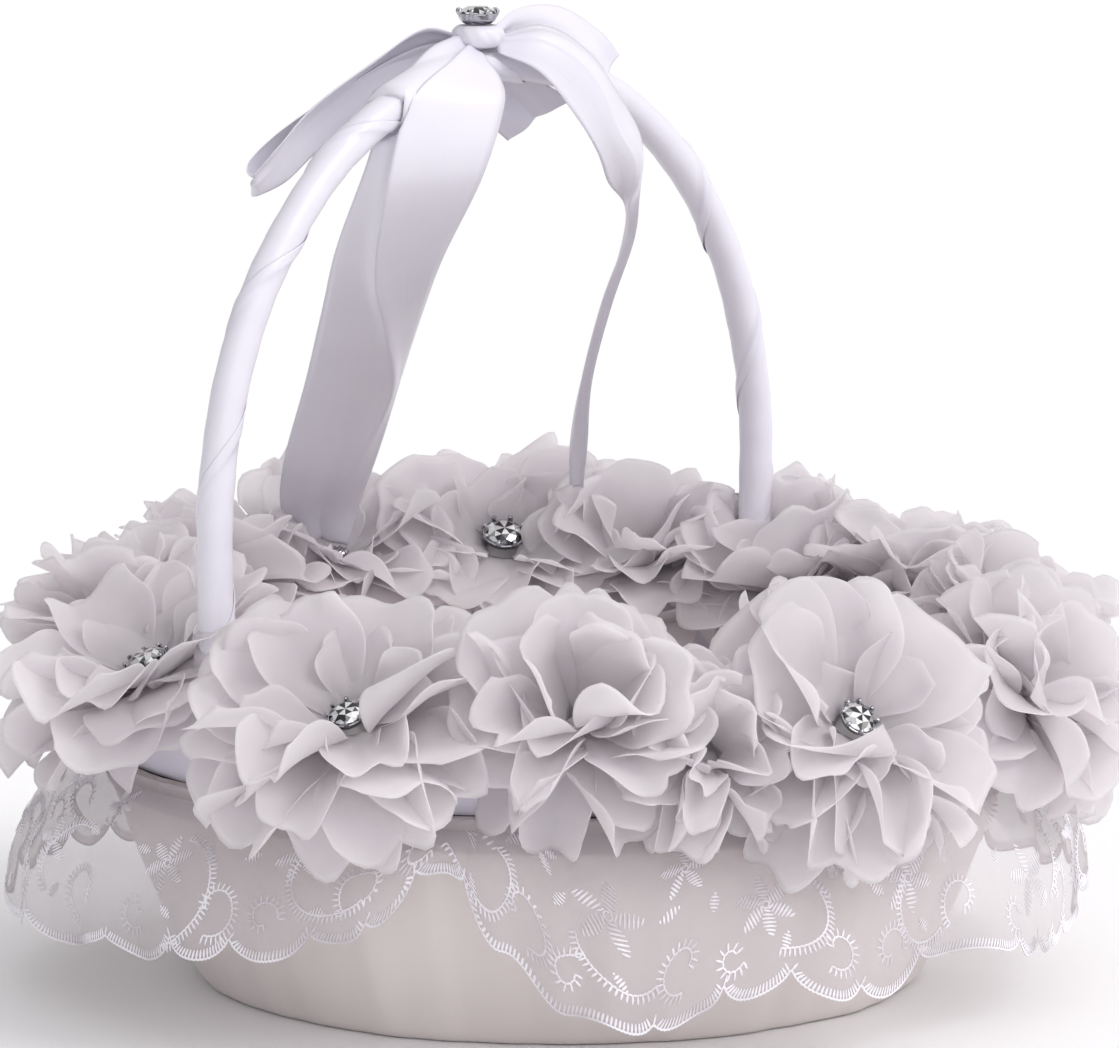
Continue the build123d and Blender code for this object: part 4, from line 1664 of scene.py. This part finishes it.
LEFT_LOOP = Strip("left_loop", "bow_loop_left", (
    Station((-8, 3, 1), (1, 1, -2), 1), Station((-17, 9, 1), (4, 2, -5), 2),
    Station((-29, 17, -9), (6, 4, -6), 3), Station((-42, 24, -19), (6, 4, -6), 3),
    Station((-53, 26, -27), (5, 3, -5), 1), Station((-59, 29.5, -32), (2.8, 1.8, -3), 0),
    Station((-55, 33.5, -31), (4.5, 3, -4.5), 0), Station((-42, 33, -25), (6, 4, -6), -2),
    Station((-28, 25, -15), (6, 4, -6), -2), Station((-16, 13, -4), (3, 2, -4), 1),
    Station((-7, 4, 0), (1, 1, -2), 0)))
RIGHT_LOOP = Strip("right_loop", "bow_loop_right", (
    Station((-6, 0, 2), (-1, 1, -2), 1), Station((5, 2, 4), (-3, 1, -5), 2),
    Station((21, 3, 3), (-5, 1, -6), 3), Station((36, 3, -3), (-5, 1, -6), 3),
    Station((48, 4, -10), (-5, 1, -5), 1)))
SHORT_END = Strip("short_end", "bow_short_end", (
    Station((-5, 4, 0), (2, -2, 0), 0), Station((5, 9, -5), (6, -5, 3), 1),
    Station((17, 10, -13), (6, -6, 5), 2), Station((27, 9, -21), (5, -6, 5), 1)))


@dataclass
class Bow:
    """Satin ribbon bow on the hoop's top: loops, tails, knot and a claw-set stone."""

    hoop: Hoop
    rows: int = 96
    columns: int = 25
    ribbon_width: float = 30 * MM
    ribbon_thickness: float = 0.22 * MM
    knot_width: float = 12 * MM
    clearance: float = 1.2 * MM

    def ribbon(self, strip: Strip, satin: bpy.types.Material) -> bpy.types.Object:
        """Make one ribbon.

        Args:
            strip: its stations.
            satin: its finish.

        Returns:
            Surface through the left edge, ridge and right edge of all stations, smooth both
            ways, pushed clear of the wrapped hoop.
        """
        top = np.array([0, self.hoop.setback, self.hoop.top])
        centre = np.array([s.centre for s in strip.stations]) * MM + top
        half = np.array([s.half for s in strip.stations]) * MM
        ridge = np.array([[s.ridge * MM] for s in strip.stations])
        share = np.array([[s.share] for s in strip.stations])
        face = unit(np.cross(half, np.gradient(centre, axis=0)))
        rails = [spline(rail, self.rows) for rail in
                 (centre - half, centre + share * half + ridge * face, centre + half)]
        rows = np.stack(rails, 1)
        t = np.linspace(0, 1, self.columns)[:, None]
        left, right = np.clip(1 - 2 * t, 0, 1) ** 1.35, np.clip(2 * t - 1, 0, 1) ** 1.35
        weights = np.concatenate([left, 1 - left - right, right], 1)
        grid = np.einsum("ck,rkd->rcd", weights, rows)
        along = np.linspace(0, 1, self.rows)[:, None]
        rng = np.random.default_rng(len(strip.name))
        wave = 0.45 * MM * waves(along * 5 + t.T, rng, range(1, 6), 0.6)
        pleat = 0.5 * MM * waves(t.T * 3 + 0.4 * np.sin(along * 5), rng, range(2, 6), 0.6)
        grid = grid + (wave + pleat)[..., None] * unit(np.cross(
            np.gradient(grid, axis=0), np.gradient(grid, axis=1)))
        grid = self.hoop.clear(grid, self.clearance)
        step = np.linalg.norm(np.diff(rows[:, 1], axis=0), axis=1)
        length = np.concatenate([[0], np.cumsum(step)])[:, None]
        uv = np.stack(np.broadcast_arrays(t.T * self.ribbon_width, length), -1)
        # Painted shade where each ribbon runs into the knot.
        tone = 0.30 * np.exp(-((along / 0.08) ** 2))
        piece = mesh_piece(strip.name, [Patch(grid, uv, tone=tone)])
        thicken(piece, self.ribbon_thickness)
        place(piece, satin, (strip.replaced,))
        return declare(piece, self.ribbon_width)

    def knot(self, satin: bpy.types.Material) -> None:
        """Pinched barrel of ribbon round the middle of the bow.

        Its radius falls towards both ends as the root of 1 - s^2, with upright pleats.

        Args:
            satin: its finish.
        """
        low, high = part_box("bow_knot")
        middle, reach = (low + high) / 2, (high.x - low.x) / 2
        s = np.linspace(-0.96, 0.96, 26)[:, None]
        angle = around(96)
        rng = np.random.default_rng(61)
        pleat = 0.5 * MM * waves(angle + 0.3 * s, rng, range(5, 13), 0.3) * (1 - 0.3 * s**2)
        radius = reach * (0.55 + 0.42 * np.sqrt(1 - s**2)) + pleat
        grid = turned(radius, s * (high.z - low.z) / 2, angle) + np.array(middle)
        uv = np.stack(np.broadcast_arrays(s * reach, angle * reach), -1)
        piece = mesh_piece("ribbon_knot", [Patch(grid, uv, close_columns=True, flip=True)])
        thicken(piece, self.ribbon_thickness * 2)
        place(piece, satin, ("bow_knot",))
        declare(piece, self.knot_width)

    def build(self, satin: bpy.types.Material, plate: bpy.types.Material,
              glass: bpy.types.Material) -> None:
        """Tie the bow and set its stone.

        Args:
            satin: finish of the ribbon.
            plate: finish of the claw cup.
            glass: finish of the stone.
        """
        self.knot(satin)
        for strip in (WIDE_TAIL, SLIM_TAIL, LEFT_LOOP, RIGHT_LOOP, SHORT_END):
            self.ribbon(strip, satin)
        setting = ClawSetting.read("bow_claw_setting", np.array([0.0, 0.0, 1.0]))
        setting.metal("bow_claw_cup", "bow_claw_setting", plate)
        setting.stone("bow_brilliant", "bow_stone", glass, BOW_STONE_SEED)


# ---------------------------------------------------------------- studio


@dataclass(frozen=True)
class Studio:
    """Pale floor, soft lights and the camera. The surroundings are brighter on one side."""

    azimuth: float = -51.0
    base_elevation: float = 12.0
    rise_to_middle: float = 3.83
    distance: float = 1.7
    lens: float = 213.3
    floor_size: float = 9.0
    dim_side: float = 0.31
    bright_side: float = 1.12

    def direction(self, azimuth: float, elevation: float) -> Vector:
        """Direction from the object to a place at an azimuth and a height, in degrees."""
        a, e = math.radians(azimuth), math.radians(elevation)
        return Vector((math.sin(a) * math.cos(e), -math.cos(a) * math.cos(e), math.sin(e)))

    def camera(self) -> None:
        """Long lens that looks down on the basket, aimed above the base's middle."""
        data = bpy.data.cameras.new("camera")
        data.lens, data.sensor_width = self.lens, 36.0
        data.clip_start, data.clip_end = 0.05, 30.0
        camera = bpy.data.objects.new("camera", data)
        bpy.context.scene.collection.objects.link(camera)
        camera.location = self.direction(self.azimuth, self.base_elevation) * self.distance
        look = -self.direction(self.azimuth, self.base_elevation - self.rise_to_middle)
        camera.rotation_euler = look.to_track_quat("-Z", "Y").to_euler()
        bpy.context.scene.camera = camera

    def lamp(self, name: str, azimuth: float, elevation: float, spread: float, power: float,
             colour: str) -> None:
        """Far soft light, which lights the floor evenly.

        Args:
            name: the light's name.
            azimuth: where it stands, in degrees.
            elevation: its height over the horizon, in degrees.
            spread: how wide it looks, in degrees, which softens its shadows.
            power: its strength.
            colour: its sRGB colour in hex.
        """
        data = bpy.data.lights.new(name, "SUN")
        data.angle, data.energy = math.radians(spread), power
        data.color = linear(colour)[:3]
        lamp = bpy.data.objects.new(name, data)
        bpy.context.scene.collection.objects.link(lamp)
        towards = -self.direction(azimuth, elevation)
        lamp.rotation_euler = towards.to_track_quat("-Z", "Y").to_euler()

    def build(self) -> None:
        """Set up the floor, world, lights and camera."""
        material, tree = new_material("pale floor")
        body = add_node(tree, "ShaderNodeBsdfPrincipled", inputs={
            "Base Color": linear("fefefe"), "Roughness": 0.9, "Specular IOR Level": 0.1})
        add_node(tree, "ShaderNodeOutputMaterial", inputs={"Surface": body.outputs[0]})
        half = self.floor_size / 2
        corners = np.array([[[-half, -half, 0], [-half, half, 0]],
                            [[half, -half, 0], [half, half, 0]]])
        floor = mesh_piece("floor", [Patch(corners)])
        floor.data.materials.append(material)
        world = bpy.data.worlds.new("studio")
        bpy.context.scene.world = world
        world.use_nodes = True
        background = world.node_tree.nodes["Background"]
        background.inputs["Color"].default_value = linear("faf9fb")
        looking = add_node(world.node_tree, "ShaderNodeTexCoord")
        side = add_node(world.node_tree, "ShaderNodeVectorMath", {"operation": "DOT_PRODUCT"}, {
            0: looking.outputs["Generated"], 1: self.direction(self.azimuth + 80, 25)})
        fall = add_node(world.node_tree, "ShaderNodeMapRange", inputs={
            "Value": side.outputs["Value"], "From Min": -0.9, "From Max": 0.9,
            "To Min": self.dim_side, "To Max": self.bright_side})
        world.node_tree.links.new(fall.outputs[0], background.inputs["Strength"])
        self.lamp("key", self.azimuth + 60, 44, 26, 0.9, "fffcfb")
        self.lamp("front", self.azimuth + 8, 24, 40, 0.3, "faf8ff")
        self.camera()
        bpy.context.scene.view_settings.view_transform = "Standard"


def main() -> None:
    """Build the basket from the inside out."""
    logging.basicConfig(level=logging.INFO, format="%(message)s")
    Studio().build()
    ivory, ribbon, chiffon = IVORY_SATIN.build(), SATIN_RIBBON.build(), PETAL_CHIFFON.build()
    organza, thread, felt = ORGANZA.build(), EMBROIDERY.build(), FELT.build()
    plate, glass, board = CLAW_PLATE.build(), CUT_STONE.build(), GREY_BOARD.build()
    dress(("base_board", "side_shell"), board)
    dress(("rim_wire",), STEEL_WIRE.build())
    dress(("handle_core",), HOOP_TUBE.build())
    dress(tuple(sorted(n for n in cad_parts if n.startswith("felt_disc_"))), felt)

    carcass = Carcass.read()
    cloth = BasketCloth(carcass)
    cloth.base_cloth(ivory)
    cloth.cover(ivory)
    cloth.lining(ivory)
    cloth.floor_pad(ivory)
    cloth.binding(ribbon)
    cloth.heading(organza)

    ruffle = Ruffle(carcass)
    threads = Embroidery(ruffle).build(thread)
    ruffle.cloth(organza, threads)

    hoop = Hoop(carcass)
    hoop.wrap(ribbon)
    hoop.sockets(ribbon)
    Garland(hoop).build(chiffon, plate, glass)
    Bow(hoop).build(ribbon, plate, glass)


if __name__ == "__main__":
    main()
